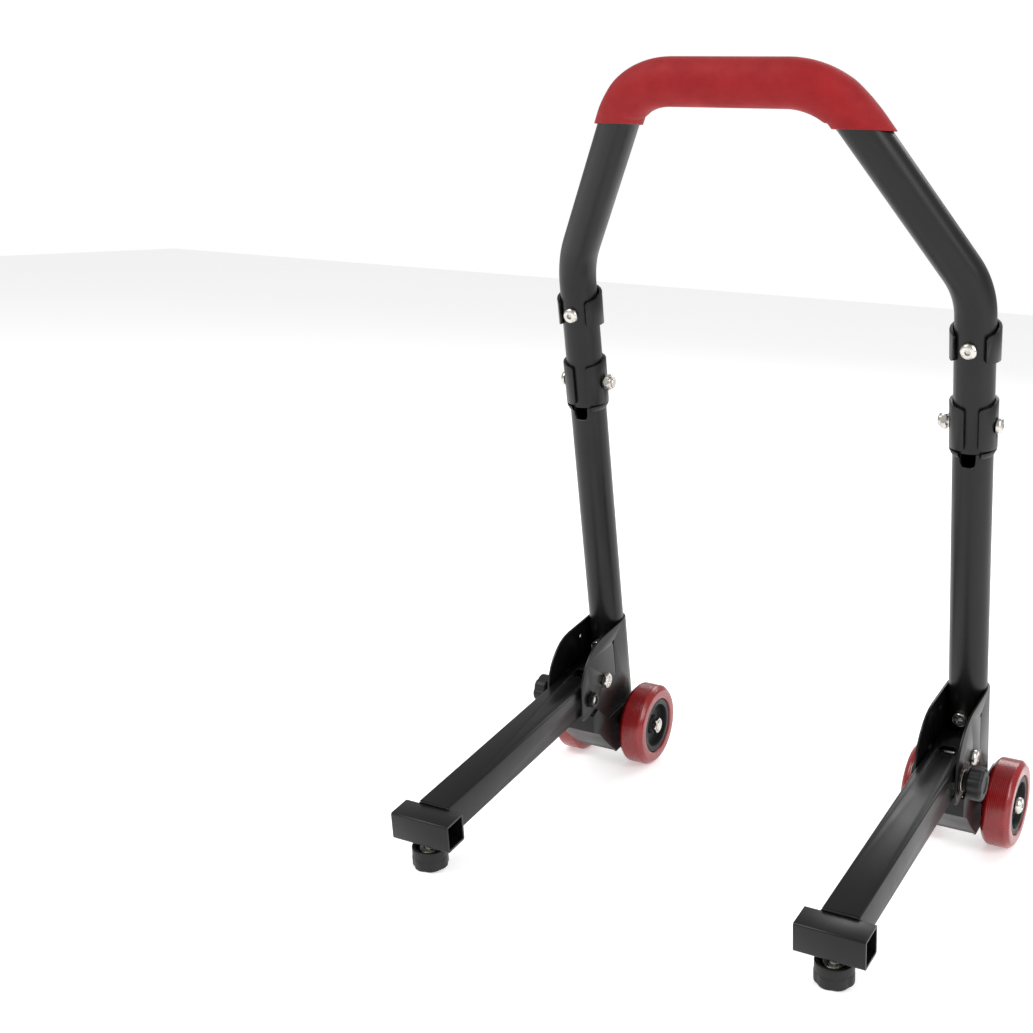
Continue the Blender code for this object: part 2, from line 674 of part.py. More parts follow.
def make_bracket(name, side, parent, finishes):
    """Sheet folded round the back of the upright, with a cheek on each side of the leg."""
    upright = upright_matrix(side)
    behind = arc((0.0, 0.0), BRACKET_OUTER, 0.0, 180.0, TUBE_SEGMENTS // 2)
    inside = arc((0.0, 0.0), BRACKET_INNER, 180.0, 0.0, TUBE_SEGMENTS // 2)
    reach = CHEEK_ARC_RADIUS - CHEEK_ARC_CENTRE[0] + 2 * BRACKET_OUTER
    channel = behind + [(-BRACKET_OUTER, -reach), (-BRACKET_INNER, -reach)] + inside
    channel += [(BRACKET_INNER, -reach), (BRACKET_OUTER, -reach)]
    tall = 2 * max(CHEEK_TOP, -CHEEK_BOTTOM)
    bm = upward(channel, -tall, tall)
    bmesh.ops.transform(bm, matrix=Matrix.Rotation(UPRIGHT_LEAN, 4, "X"), verts=bm.verts)
    bracket = add_part(f"bracket_channel_{name}", bm, finishes["black_paint"], parent, leg_matrix(side))
    wide = 2 * BRACKET_OUTER
    cut(bracket, [across(cheek_outline(), -wide, wide)], "INTERSECT")

    bore = BOLT_RADIUS + FIT_GAP
    holes = [rod((-wide, *place), X_AXIS, 2 * wide, bore) for place in (PIVOT_PLACE, STUD_PLACE)]
    holes.append(rod((-wide, *RELIEF_HOLE), X_AXIS, 2 * wide, RELIEF_HOLE_RADIUS, BOLT_SEGMENTS // 2))
    half = RELIEF_SLIT_WIDTH / 2
    slit = [
        (RELIEF_HOLE[0] - half, RELIEF_HOLE[1]),
        (RELIEF_HOLE[0] + half, RELIEF_HOLE[1]),
        (RELIEF_SLIT_FOOT[0] + half, RELIEF_SLIT_FOOT[1]),
        (RELIEF_SLIT_FOOT[0] - half, RELIEF_SLIT_FOOT[1]),
    ]
    holes.append(across(slit, -wide, wide))
    bolt_hole = rod(Z_AXIS * UPRIGHT_BOLT_HEIGHT, Y_AXIS, wide, bore)
    lean = Matrix.Rotation(UPRIGHT_LEAN, 4, "X")
    bmesh.ops.transform(bolt_hole, matrix=lean, verts=bolt_hole.verts)
    holes.append(bolt_hole)
    cut(bracket, holes)

    back = Y_AXIS
    seat = TUBE_RADIUS + FIT_GAP
    rear_face = BRACKET_OUTER + FIT_GAP
    length = seat + rear_face + NUT_HEIGHT + BOLT_PROTRUSION
    stations = [
        (-CAP_HEIGHT, 0.0),
        (-CAP_HEIGHT, CAP_RADIUS - CAP_CHAMFER),
        (CAP_CHAMFER - CAP_HEIGHT, CAP_RADIUS),
        (0.0, CAP_RADIUS),
        (0.0, BOLT_RADIUS),
        (length, BOLT_RADIUS),
        (length, 0.0),
    ]
    height = Z_AXIS * UPRIGHT_BOLT_HEIGHT
    bolt = turned(stations, BOLT_SEGMENTS, height - back * seat, back)
    add_part(f"upright_bolt_{name}", bolt, finishes["zinc_steel"], parent, upright)
    nut = hex_nut(height + back * rear_face, back, NUT_HEIGHT, NUT_RADIUS, bore)
    add_part(f"upright_nut_{name}", nut, finishes["zinc_steel"], parent, upright)


def offset_inside(points, distance):
    """Polyline moved to its left by a distance, with mitred corners."""
    moved = []
    for index, point in enumerate(points):
        here = Vector(point)
        before = (here - Vector(points[index - 1])).normalized() if index else None
        after = (Vector(points[index + 1]) - here).normalized() if index + 1 < len(points) else None
        first = before or after
        second = after or before
        bisector = (first.orthogonal() + second.orthogonal()).normalized()
        moved.append(here + bisector * (distance / bisector.dot(first.orthogonal())))
    return moved


def make_yoke(name, side, parent, finishes):
    """Sheet box under the bracket that carries the axle; it is open behind, above and below."""
    frame = leg_matrix(side)
    outline = list(YOKE_FRONT) + [
        (YOKE_FRONT[-1][0] + YOKE_SHEET, YOKE_BOTTOM),
        (YOKE_REAR, YOKE_BOTTOM),
        (YOKE_REAR, YOKE_SHOULDER[1]),
        YOKE_SHOULDER,
        YOKE_GABLE,
    ]
    bm = across(outline, -YOKE_OUTER, YOKE_OUTER)
    yoke = add_part(f"wheel_yoke_{name}", bm, finishes["black_paint"], parent, frame)
    front = offset_inside(YOKE_FRONT, YOKE_SHEET)
    deep = 2 * YOKE_BOTTOM
    behind = 2 * YOKE_REAR
    hollow = [(front[0][0], 0.0)] + front + [(front[-1][0], deep), (behind, deep), (behind, 0.0)]
    bolt_hole = rod((-2 * YOKE_OUTER, *AXLE_PLACE), X_AXIS, 4 * YOKE_OUTER, AXLE_RADIUS + FIT_GAP)
    cut(yoke, [across(hollow, -YOKE_INNER, YOKE_INNER), bolt_hole])


# The folding leg and its clamps

def hook_outline(clearance):
    """Side view of the slot that the lock stud sweeps through the leg, round the leg's pivot."""
    pivot, stud = Vector(PIVOT_PLACE), Vector(STUD_PLACE)
    spoke = stud - pivot
    reach = spoke.length
    first = math.degrees(math.atan2(spoke.y, spoke.x))
    last = first + HOOK_SWEEP
    outer = arc(pivot, reach + clearance, last, first, 10)
    end = arc(stud, clearance, first, first - 180.0, 6)
    inner = arc(pivot, reach - clearance, first, last, 10)
    return outer[:-1] + end + inner[1:]


def make_leg(name, carrier, finishes):
    """Leg tube with its hook notch, and the receiver that takes a lifting adaptor."""
    frame = Matrix.Translation((0.0, -PIVOT_PLACE[0], -PIVOT_PLACE[1]))
    bm = square_tube(-LEG_FRONT, -LEG_REAR, LEG_SIZE, LEG_WALL, lambda a, b, height: (a, height, b))
    leg = add_part(f"leg_tube_{name}", bm, finishes["black_paint"], carrier, frame)
    wide = LEG_SIZE
    bore = BOLT_RADIUS + FIT_GAP
    cut(leg, [
        rod((-wide, *PIVOT_PLACE), X_AXIS, 2 * wide, bore),
        across(hook_outline(bore), -wide, wide),
        rod(-Y_AXIS * LEG_TOP_HOLE_FORWARD, Z_AXIS, LEG_SIZE, LEG_TOP_HOLE_RADIUS),
    ])
    half = RECEIVER_LENGTH / 2
    seat_frame = frame @ Matrix.Translation((0.0, -RECEIVER_FORWARD, 0.0))
    bm = square_tube(-half, half, RECEIVER_SIZE, RECEIVER_WALL, lambda a, b, height: (height, a, b))
    receiver = add_part(f"receiver_tube_{name}", bm, finishes["black_paint"], carrier, seat_frame)
    screw_bore = FOOT_SCREW_RADIUS + FIT_GAP
    cut(receiver, [rod(-Z_AXIS * RECEIVER_SIZE, Z_AXIS, RECEIVER_SIZE, screw_bore)])


def make_clamp_foot(name, slide, turn, finishes):
    """Clamp knob under the receiver: its screw enters the receiver, and the stand rests on it."""
    top = -RECEIVER_SIZE / 2 - FOOT_KNOB_TOP
    bottom = top - FOOT_KNOB_HEIGHT
    screw_foot = bottom + FOOT_CUP_DEPTH
    screw_tip = -RECEIVER_SIZE / 2 + RECEIVER_WALL + FOOT_SCREW_TIP
    cup = top - FOOT_CUP_DEPTH
    bore = FOOT_SCREW_RADIUS + FIT_GAP
    stations = [
        (screw_foot - FIT_GAP, 0.0),
        (screw_foot - FIT_GAP, bore),
        (cup, bore),
        (cup, FOOT_CUP_FLOOR_RADIUS),
        (top, FOOT_CUP_RADIUS),
        (top, FOOT_RIM_RADIUS),
        (top - FOOT_RIM_BOTTOM, FOOT_RIM_RADIUS),
        (top - FOOT_LOBE_TOP, FOOT_KNOB_RADIUS, lobed),
        (bottom, FOOT_KNOB_RADIUS, lobed),
        (bottom, 0.0),
    ]
    knob = turned(stations, KNOB_SEGMENTS)
    add_part(f"foot_knob_{name}", knob, finishes["black_plastic"], turn)
    screw = rod(Z_AXIS * screw_foot, Z_AXIS, screw_tip - screw_foot, FOOT_SCREW_RADIUS)
    add_part(f"foot_screw_{name}", screw, finishes["zinc_steel"], turn)
    low = cup + FIT_GAP
    washer = pipe(low, low + FOOT_WASHER_WALL, FOOT_WASHER_RADIUS, bore, BOLT_SEGMENTS)
    add_part(f"foot_washer_{name}", washer, finishes["zinc_steel"], slide)


def make_pivot(name, side, parent, finishes):
    """Bolt and nut that the leg folds about."""
    outward = X_AXIS * side
    face = BRACKET_OUTER + FIT_GAP
    place = leg_matrix(side) @ Matrix.Translation((0.0, *PIVOT_PLACE))
    length = 2 * face + PIVOT_NUT_HEIGHT
    bolt = button_bolt(outward * face, -outward, length, BOLT_RADIUS, PIVOT_HEAD_RADIUS, BUTTON_HEIGHT)
    add_part(f"leg_pivot_bolt_{name}", bolt, finishes["zinc_steel"], parent, place)
    bore = BOLT_RADIUS + FIT_GAP
    stations = [
        (0.0, bore),
        (0.0, PIVOT_HEAD_RADIUS),
        (PIVOT_NUT_HEIGHT - PIVOT_NUT_CROWN, PIVOT_HEAD_RADIUS - PIVOT_NUT_EDGE),
        (PIVOT_NUT_HEIGHT, bore + PIVOT_NUT_LAND),
        (PIVOT_NUT_HEIGHT, bore),
    ]
    nut = turned(stations, BOLT_SEGMENTS, -outward * face, -outward)
    add_part(f"leg_pivot_nut_{name}", nut, finishes["zinc_steel"], parent, place)


def make_lock(name, side, parent, slide, turn, finishes):
    """Star knob whose stud crosses the bracket under the leg's hook, and the nut that it draws up."""
    outward = X_AXIS * side
    face = BRACKET_OUTER + FIT_GAP
    knob_face = face + LOCK_WASHER_WALL + FIT_GAP
    grip = knob_face + KNOB_BOSS_LENGTH
    bore = BOLT_RADIUS + FIT_GAP
    washer_top = face + LOCK_WASHER_WALL
    washer = pipe(face, washer_top, LOCK_WASHER_RADIUS, bore, BOLT_SEGMENTS, axis=outward)
    add_part(f"lock_washer_{name}", washer, finishes["zinc_steel"], slide)
    blind = knob_face + KNOB_BORE_DEPTH
    far = knob_face + KNOB_THICKNESS
    along, inward = KNOB_CHAMFER
    stations = [
        (far, 0.0),
        (far, KNOB_RADIUS - inward, lobed),
        (far - along, KNOB_RADIUS, lobed),
        (grip + along, KNOB_RADIUS, lobed),
        (grip, KNOB_RADIUS - inward, lobed),
        (grip, KNOB_BOSS_RADIUS),
        (knob_face, KNOB_BOSS_RADIUS),
        (knob_face, bore),
        (blind + FIT_GAP, bore),
        (blind + FIT_GAP, 0.0),
    ]
    knob = turned(stations, KNOB_SEGMENTS, axis=outward)
    add_part(f"lock_knob_{name}", knob, finishes["black_plastic"], turn)
    stud_end = -face - STUD_ENGAGEMENT
    stud = rod(outward * stud_end, outward, blind - stud_end, BOLT_RADIUS)
    add_part(f"lock_stud_{name}", stud, finishes["zinc_steel"], turn)
    place = leg_matrix(side) @ Matrix.Translation((0.0, *STUD_PLACE))
    nut = hex_nut(-outward * face, -outward, LOCK_NUT_HEIGHT, NUT_RADIUS, bore)
    add_part(f"lock_nut_{name}", nut, finishes["black_steel"], parent, place)


# The wheels

def make_axle(name, side, parent, finishes):
    """Axle bolt through the yoke and both wheels, and its nut."""
    outward = X_AXIS * side
    place = leg_matrix(side) @ Matrix.Translation((0.0, *AXLE_PLACE))
    face = hub_outer_face() + FIT_GAP
    length = 2 * face + AXLE_NUT_HEIGHT + BOLT_PROTRUSION
    bolt = button_bolt(outward * face, -outward, length, AXLE_RADIUS, AXLE_HEAD_RADIUS, AXLE_HEAD_HEIGHT)
    add_part(f"axle_bolt_{name}", bolt, finishes["zinc_steel"], parent, place)
    nut = hex_nut(-outward * face, -outward, AXLE_NUT_HEIGHT, AXLE_HEAD_RADIUS, AXLE_RADIUS + FIT_GAP)
    add_part(f"axle_nut_{name}", nut, finishes["zinc_steel"], parent, place)


def hub_outer_face():
    """Distance from the upright's middle plane to the face that the axle's head bears on."""
    return WHEEL_OFFSET + WHEEL_WIDTH / 2 - HUB_DISH_DEPTH / 2


def make_wheel(name, away, carrier, finishes):
    """Soft tread on a dished plastic hub; away is the direction from the yoke to the wheel."""
    half = WHEEL_WIDTH / 2
    inward, fall = WHEEL_SHOULDER
    shoulder = half - inward
    side_edge = WHEEL_RADIUS - WHEEL_SIDE_EDGE
    tread = [
        (-half, TREAD_INNER_RADIUS + TREAD_CHAMFER),
        (-half, side_edge),
        (-shoulder, WHEEL_RADIUS - fall),
        (-WHEEL_FACE_HALF, WHEEL_RADIUS),
        (WHEEL_FACE_HALF, WHEEL_RADIUS),
        (shoulder, WHEEL_RADIUS - fall),
        (half, side_edge),
        (half, TREAD_INNER_RADIUS + TREAD_CHAMFER),
        (shoulder, TREAD_INNER_RADIUS),
        (-shoulder, TREAD_INNER_RADIUS),
    ]
    add_part(f"{name}_tread", turned(tread, WHEEL_SEGMENTS, axis=away), finishes["red_urethane"], carrier)
    rim = TREAD_INNER_RADIUS - FIT_GAP
    lip = rim - HUB_LIP
    dish = half - HUB_DISH_DEPTH
    inner_end = YOKE_OUTER + FIT_GAP - WHEEL_OFFSET
    outer_end = hub_outer_face() - WHEEL_OFFSET
    bore = AXLE_RADIUS + FIT_GAP
    hub = [
        (inner_end, bore),
        (inner_end, HUB_BOSS_END_RADIUS),
        (-dish, HUB_BOSS_RADIUS),
        (-dish, lip - HUB_DRAFT),
        (-shoulder, lip),
        (-shoulder, rim),
        (shoulder, rim),
        (shoulder, lip),
        (dish, lip - HUB_DRAFT),
        (dish, HUB_BOSS_RADIUS),
        (outer_end, HUB_BOSS_END_RADIUS),
        (outer_end, bore),
    ]
    add_part(f"{name}_hub", turned(hub, TUBE_SEGMENTS, axis=away), finishes["black_plastic"], carrier)


def make_side(name, side, stand, finishes):
    """Everything that one upright carries."""
    make_upright(name, side, stand, finishes)
    make_splice(name, side, stand, finishes)
    make_bracket(name, side, stand, finishes)
    make_yoke(name, side, stand, finishes)
    make_pivot(name, side, stand, finishes)
    make_axle(name, side, stand, finishes)

    leg = leg_matrix(side)
    fold = add_empty(f"leg_fold_axis_{name}", stand, leg @ Matrix.Translation((0.0, *PIVOT_PLACE)))
    make_leg(name, fold, finishes)
    foot_place = Matrix.Translation((0.0, -RECEIVER_FORWARD - PIVOT_PLACE[0], -PIVOT_PLACE[1]))
    foot_slide = add_empty(f"foot_slide_axis_{name}", fold, foot_place)
    foot_turn = add_empty(f"foot_turn_axis_{name}", foot_slide)
    make_clamp_foot(name, foot_slide, foot_turn, finishes)

    lock_slide = add_empty(f"lock_slide_axis_{name}", stand, leg @ Matrix.Translation((0.0, *STUD_PLACE)))
    lock_turn = add_empty(f"lock_turn_axis_{name}", lock_slide)
    make_lock(name, side, stand, lock_slide, lock_turn, finishes)

    for place, away in (("outer", X_AXIS * side), ("inner", X_AXIS * -side)):
        middle = leg @ Vector((0.0, *AXLE_PLACE)) + away * WHEEL_OFFSET
        spin = add_empty(f"wheel_axis_{place}_{name}", stand, Matrix.Translation(middle))
        make_wheel(f"{place}_wheel_{name}", away, spin, finishes)


def main():
    """Build the stand."""
    clear_scene()
    finishes = {
        "black_paint": finish("black_paint", (0.012, 0.012, 0.013), 0.35),
        "red_foam": finish("red_foam", (0.45, 0.012, 0.014), 0.85),
        "red_urethane": finish("red_urethane", (0.50, 0.010, 0.012), 0.25),
        "black_plastic": finish("black_plastic", (0.015, 0.015, 0.016), 0.5),
        "zinc_steel": finish("zinc_steel", (0.62, 0.60, 0.56), 0.3, 1.0),
        "black_steel": finish("black_steel", (0.03, 0.03, 0.03), 0.45, 0.6),
    }
    stand = add_empty("stand_frame", None, stand_matrix())
    make_bow(stand, finishes)
    for name, side in SIDES:
        make_side(name, side, stand, finishes)


main()
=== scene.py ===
"""Looks of the paddock stand: fine surfaces, finishes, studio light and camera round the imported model.

Shapes are drawn in the stand's drawing frame, as on its shop drawing: X across the stand, Y to the back
and Z square to the legs, with the origin midway between the uprights at mid height of the leg tubes.
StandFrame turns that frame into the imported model's own, where the floor is level.
"""
import json
import logging
import math
from dataclasses import dataclass, field
from enum import Enum

import bmesh
import bpy
import numpy as np
from mathutils import Matrix, Vector


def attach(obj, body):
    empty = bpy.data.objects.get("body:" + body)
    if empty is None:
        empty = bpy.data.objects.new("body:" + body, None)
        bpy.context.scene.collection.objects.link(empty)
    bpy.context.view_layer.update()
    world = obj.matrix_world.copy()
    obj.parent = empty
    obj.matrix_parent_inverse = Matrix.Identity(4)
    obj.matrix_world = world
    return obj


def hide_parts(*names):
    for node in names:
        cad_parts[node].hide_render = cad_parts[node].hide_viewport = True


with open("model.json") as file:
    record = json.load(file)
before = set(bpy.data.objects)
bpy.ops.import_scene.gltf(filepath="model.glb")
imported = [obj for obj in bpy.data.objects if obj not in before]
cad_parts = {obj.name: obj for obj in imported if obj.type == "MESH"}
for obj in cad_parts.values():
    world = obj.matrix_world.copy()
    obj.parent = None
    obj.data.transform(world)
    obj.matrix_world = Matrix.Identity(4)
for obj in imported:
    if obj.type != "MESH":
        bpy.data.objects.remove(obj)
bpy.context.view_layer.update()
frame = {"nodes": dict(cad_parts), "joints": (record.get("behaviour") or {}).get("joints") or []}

LOG = logging.getLogger("paddock_stand")
TAU = 2.0 * math.pi
GAP = 0.0003


# Surfaces

def grid_faces(rows: int, columns: int, wrap_rows: bool, wrap_columns: bool) -> np.ndarray:
    """Quads of a grid of points stored row by row.

    Args:
        rows: how many rows of points.
        columns: how many points in each row.
        wrap_rows: joins the last row to the first.
        wrap_columns: joins each row's last point to its first.

    Returns:
        One row of four point numbers for each quad.
    """
    first = np.arange(rows if wrap_rows else rows - 1)
    across = np.arange(columns if wrap_columns else columns - 1)
    row, column = np.meshgrid(first, across, indexing="ij")
    next_row = (row + 1) % rows
    next_column = (column + 1) % columns
    corners = (row * columns + column, row * columns + next_column,
               next_row * columns + next_column, next_row * columns + column)
    return np.stack(corners, axis=-1).reshape(-1, 4)


def moved(points: np.ndarray, matrix: Matrix) -> np.ndarray:
    """Points of any grid shape, taken through a 4 x 4 matrix."""
    array = np.array(matrix)
    return points @ array[:3, :3].T + array[:3, 3]


def softened(profile: list[tuple[float, float]], radius: float, closed: bool, steps: int = 4) -> np.ndarray:
    """Profile with its corners rounded.

    Each corner becomes a quadratic curve (1-t)^2 a + 2t(1-t) c + t^2 b, from a on the run before it
    to b on the run after it, both a radius away, or 45% of the run where that is shorter.

    Args:
        profile: corner points.
        radius: how far from its corner each curve starts.
        closed: treats the profile as a loop.
        steps: runs in each curve.

    Returns:
        The points of the rounded profile, one in each row.
    """
    points = np.array(profile, float)
    t = np.linspace(0.0, 1.0, steps + 1)[:, None]
    rounded = []
    count = len(points)
    for index in range(count):
        corner = points[index]
        if not closed and index in (0, count - 1):
            rounded.append(corner[None, :])
            continue
        back = points[index - 1] - corner
        ahead = points[(index + 1) % count] - corner
        start = corner + back * min(radius / np.linalg.norm(back), 0.45)
        end = corner + ahead * min(radius / np.linalg.norm(ahead), 0.45)
        rounded.append((1 - t) ** 2 * start + 2 * t * (1 - t) * corner + t ** 2 * end)
    return np.vstack(rounded)


def polar(segments: int) -> np.ndarray:
    """Equal angles round a full turn."""
    return np.linspace(0.0, TAU, segments, endpoint=False)


def hexagon(angles: np.ndarray) -> np.ndarray:
    """Reach of the hexagon inside a unit circle: cos 30 / cos(distance to the nearest flat's middle)."""
    side = TAU / 6
    return math.cos(side / 2) / np.cos(np.mod(angles, side) - side / 2)


def turned(stations: np.ndarray, angles: np.ndarray, factor: np.ndarray | None = None) -> np.ndarray:
    """Grid of points turned about Z: (r f cos a, r f sin a, z) for each station (z, r) and angle a.

    Args:
        stations: rows of (height, radius).
        angles: angles round the axis.
        factor: f for each station and angle, or nothing for a plain round.

    Returns:
        Points in an array of stations by angles by 3.
    """
    reach = stations[:, 1:2] * (np.ones((len(stations), len(angles))) if factor is None else factor)
    height = np.broadcast_to(stations[:, 0:1], reach.shape)
    return np.stack((reach * np.cos(angles), reach * np.sin(angles), height), axis=-1)


def facing(direction: Vector, place: Vector) -> Matrix:
    """Matrix that puts local Z along a direction, at a place."""
    turn = direction.to_track_quat("Z", "Y").to_matrix().to_4x4()
    return Matrix.Translation(place) @ turn


@dataclass
class Path:
    """A smooth line through space, with a steady sideways direction at each of its points.

    Attributes:
        points: points along the line.
        normals: unit vector square to the line at each point.
        lengths: distance along the line at each point.
    """

    points: np.ndarray
    normals: np.ndarray = field(init=False)
    tangents: np.ndarray = field(init=False)
    lengths: np.ndarray = field(init=False)

    def __post_init__(self) -> None:
        """Carry one sideways direction along the line without twisting it."""
        steps = np.diff(self.points, axis=0)
        runs = np.linalg.norm(steps, axis=1)
        self.lengths = np.concatenate(([0.0], np.cumsum(runs)))
        units = steps / runs[:, None]
        tangents = np.vstack((units[:1], units[:-1] + units[1:], units[-1:]))
        self.tangents = tangents / np.linalg.norm(tangents, axis=1)[:, None]
        normal = np.cross(self.tangents[0], (1.0, 0.0, 0.0))
        normals = []
        for tangent in self.tangents:
            normal = normal - tangent * normal.dot(tangent)
            normal = normal / np.linalg.norm(normal)
            normals.append(normal)
        self.normals = np.array(normals)

    @classmethod
    def filleted(cls, corners: list[Vector], radii: list[float], step: float) -> "Path":
        """Line of straight runs with an arc at each inner corner.

        Args:
            corners: ends and corners of the line.
            radii: bend radius at each inner corner.
            step: longest distance between points.

        Returns:
            The line.
        """
        ends = [corners[0]]
        arcs = []
        for before, corner, after, radius in zip(corners, corners[1:], corners[2:], radii):
            back = (before - corner).normalized()
            ahead = (after - corner).normalized()
            half = back.angle(ahead) / 2
            centre = corner + (back + ahead).normalized() * (radius / math.sin(half))
            start = corner + back * (radius / math.tan(half)) - centre
            bend = math.pi - 2 * half
            count = max(3, round(bend * radius / step))
            axis = back.cross(ahead)
            turns = [Matrix.Rotation(-bend * index / count, 3, axis) for index in range(count + 1)]
            arcs.append([centre + turn @ start for turn in turns])
            ends += [arcs[-1][0], arcs[-1][-1]]
        ends.append(corners[-1])
        line = []
        for index in range(0, len(ends), 2):
            start, end = ends[index], ends[index + 1]
            count = max(1, round((end - start).length / (4 * step)))
            line += [start.lerp(end, k / count) for k in range(1 if line else 0, count)]
            line += arcs[index // 2] if index // 2 < len(arcs) else [end]
        return cls(np.array([tuple(point) for point in line]))

    def at(self, lengths: np.ndarray) -> tuple[np.ndarray, np.ndarray, np.ndarray]:
        """Point, normal and binormal at each distance along the line."""
        def read(values: np.ndarray) -> np.ndarray:
            """Values of the line's points, read between them."""
            return np.stack([np.interp(lengths, self.lengths, values[:, k]) for k in range(3)], axis=-1)

        point, normal, tangent = read(self.points), read(self.normals), read(self.tangents)
        tangent /= np.linalg.norm(tangent, axis=-1, keepdims=True)
        normal -= tangent * np.sum(normal * tangent, axis=-1, keepdims=True)
        normal /= np.linalg.norm(normal, axis=-1, keepdims=True)
        return point, normal, np.cross(tangent, normal)

    def nearest(self, place: Vector) -> float:
        """Distance along the line of the point nearest to a place."""
        return float(self.lengths[np.argmin(np.linalg.norm(self.points - np.array(place), axis=1))])

    def swept(self, stations: np.ndarray, angles: np.ndarray, factor: np.ndarray | None = None) -> np.ndarray:
        """Grid of points carried along the line: p(s) + r f (cos a n + sin a b) for each station (s, r)."""
        point, normal, binormal = self.at(stations[:, 0])
        reach = stations[:, 1:2] * (np.ones((len(stations), len(angles))) if factor is None else factor)
        spoke = np.cos(angles)[None, :, None] * normal[:, None, :]
        spoke = spoke + np.sin(angles)[None, :, None] * binormal[:, None, :]
        return point[:, None, :] + reach[:, :, None] * spoke


# Pieces

class Body(Enum):
    """Names of the moving bodies that pieces ride on; {side} is left or right."""

    FRAME = "frame"
    LEG = "leg_{side}"
    FOOT_SLIDE = "foot_slide_{side}"
    FOOT_TURN = "foot_turn_{side}"
    LOCK_SLIDE = "lock_slide_{side}"
    LOCK_TURN = "lock_turn_{side}"


def finished(obj: bpy.types.Object, material: bpy.types.Material, body: str,
             nodes: tuple[str, ...], sharp: float = 35.0) -> bpy.types.Object:
    """Clean a piece's mesh, dress it and set it on its body.

    Args:
        obj: the piece, drawn in place.
        material: its finish.
        body: the moving body that carries it.
        nodes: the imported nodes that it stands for.
        sharp: angle in degrees past which an edge stays crisp.

    Returns:
        The same piece.
    """
    mesh = obj.data
    bm = bmesh.new()
    bm.from_mesh(mesh)
    bmesh.ops.remove_doubles(bm, verts=bm.verts, dist=1e-7)
    bmesh.ops.dissolve_degenerate(bm, edges=bm.edges, dist=1e-8)
    bmesh.ops.recalc_face_normals(bm, faces=bm.faces)
    bm.to_mesh(mesh)
    bm.free()
    mesh.materials.clear()
    mesh.materials.append(material)
    mesh.shade_smooth()
    mesh.set_sharp_from_angle(angle=math.radians(sharp))
    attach(obj, body)
    if nodes:
        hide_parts(*nodes)
    LOG.info("%s: %d faces on %s", obj.name, len(mesh.polygons), body)
    return obj


def surface(name: str, points: np.ndarray, wrap_rows: bool, wrap_columns: bool = True) -> bpy.types.Object:
    """Object made of one grid of points, which is rows by columns by 3."""
    rows, columns = points.shape[:2]
    mesh = bpy.data.meshes.new(name)
    faces = grid_faces(rows, columns, wrap_rows, wrap_columns)
    mesh.from_pydata(points.reshape(-1, 3), [], faces.tolist())
    mesh.update()
    obj = bpy.data.objects.new(name, mesh)
    bpy.context.collection.objects.link(obj)
    return obj


def refined(node: str, name: str, width: float, segments: int = 2) -> bpy.types.Object:
    """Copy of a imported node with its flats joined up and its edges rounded.

    Args:
        node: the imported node.
        name: the new piece's name.
        width: width of the rounded edge.
        segments: runs across the rounded edge.

    Returns:
        The new piece, with its edge rounding applied.
    """
    mesh = frame["nodes"][node].data.copy()
    mesh.name = name
    obj = bpy.data.objects.new(name, mesh)
    bpy.context.collection.objects.link(obj)
    bm = bmesh.new()
    bm.from_mesh(mesh)
    bmesh.ops.remove_doubles(bm, verts=bm.verts, dist=2e-6)
    bmesh.ops.dissolve_limit(bm, angle_limit=math.radians(1.0), verts=bm.verts, edges=bm.edges)
    sharp = [edge for edge in bm.edges
             if len(edge.link_faces) == 2 and edge.calc_face_angle(0.0) > math.radians(40.0)]
    bmesh.ops.bevel(bm, geom=sharp, offset=width, segments=segments, profile=0.5, affect="EDGES",
                    clamp_overlap=True)
    bm.to_mesh(mesh)
    bm.free()
    return obj


# Shader building

class Shading:
    """A node tree that is written as a short list of steps."""

    def __init__(self, tree: bpy.types.NodeTree) -> None:
        """Start on a tree."""
        self.tree = tree

    def add(self, kind: str, settings: dict | None = None, **inputs: object) -> bpy.types.Node:
        """Add a node.

        Args:
            kind: Blender's type name for the node.
            settings: properties to set on it.
            inputs: socket name, with _ for a space, to a value or to another node's output.

        Returns:
            The new node.
        """
        node = self.tree.nodes.new(kind)
        for key, value in (settings or {}).items():
            setattr(node, key, value)
        for key, value in inputs.items():
            self.feed(node, key.replace("_", " "), value)
        return node

    def feed(self, node: bpy.types.Node, socket: str, value: object) -> None:
        """Link or set one input socket."""
        target = node.inputs[socket]
        if isinstance(value, bpy.types.NodeSocket):
            self.tree.links.new(value, target)
        else:
            target.default_value = value

    def mix(self, factor: object, first: object, second: object) -> bpy.types.NodeSocket:
        """Colour between two colours."""
        node = self.tree.nodes.new("ShaderNodeMix")
        node.data_type = "RGBA"
        for index, value in ((0, factor), (6, first), (7, second)):
            if isinstance(value, bpy.types.NodeSocket):
                self.tree.links.new(value, node.inputs[index])
            else:
                node.inputs[index].default_value = value
        return node.outputs[2]

    def span(self, value: bpy.types.NodeSocket, low: float, high: float, start: float = 0.0,
             end: float = 1.0) -> bpy.types.NodeSocket:
        """Value taken from one range to another."""
        node = self.add("ShaderNodeMapRange")
        for index, item in ((0, value), (1, start), (2, end), (3, low), (4, high)):
            if isinstance(item, bpy.types.NodeSocket):
                self.tree.links.new(item, node.inputs[index])
            else:
                node.inputs[index].default_value = item
        return node.outputs[0]


def linear(red: int, green: int, blue: int) -> tuple[float, float, float, float]:
    """Colour for a shader from its everyday 0 to 255 values."""
    values = [channel / 255.0 for channel in (red, green, blue)]
    made = [v / 12.92 if v <= 0.04045 else ((v + 0.055) / 1.055) ** 2.4 for v in values]
    return (made[0], made[1], made[2], 1.0)


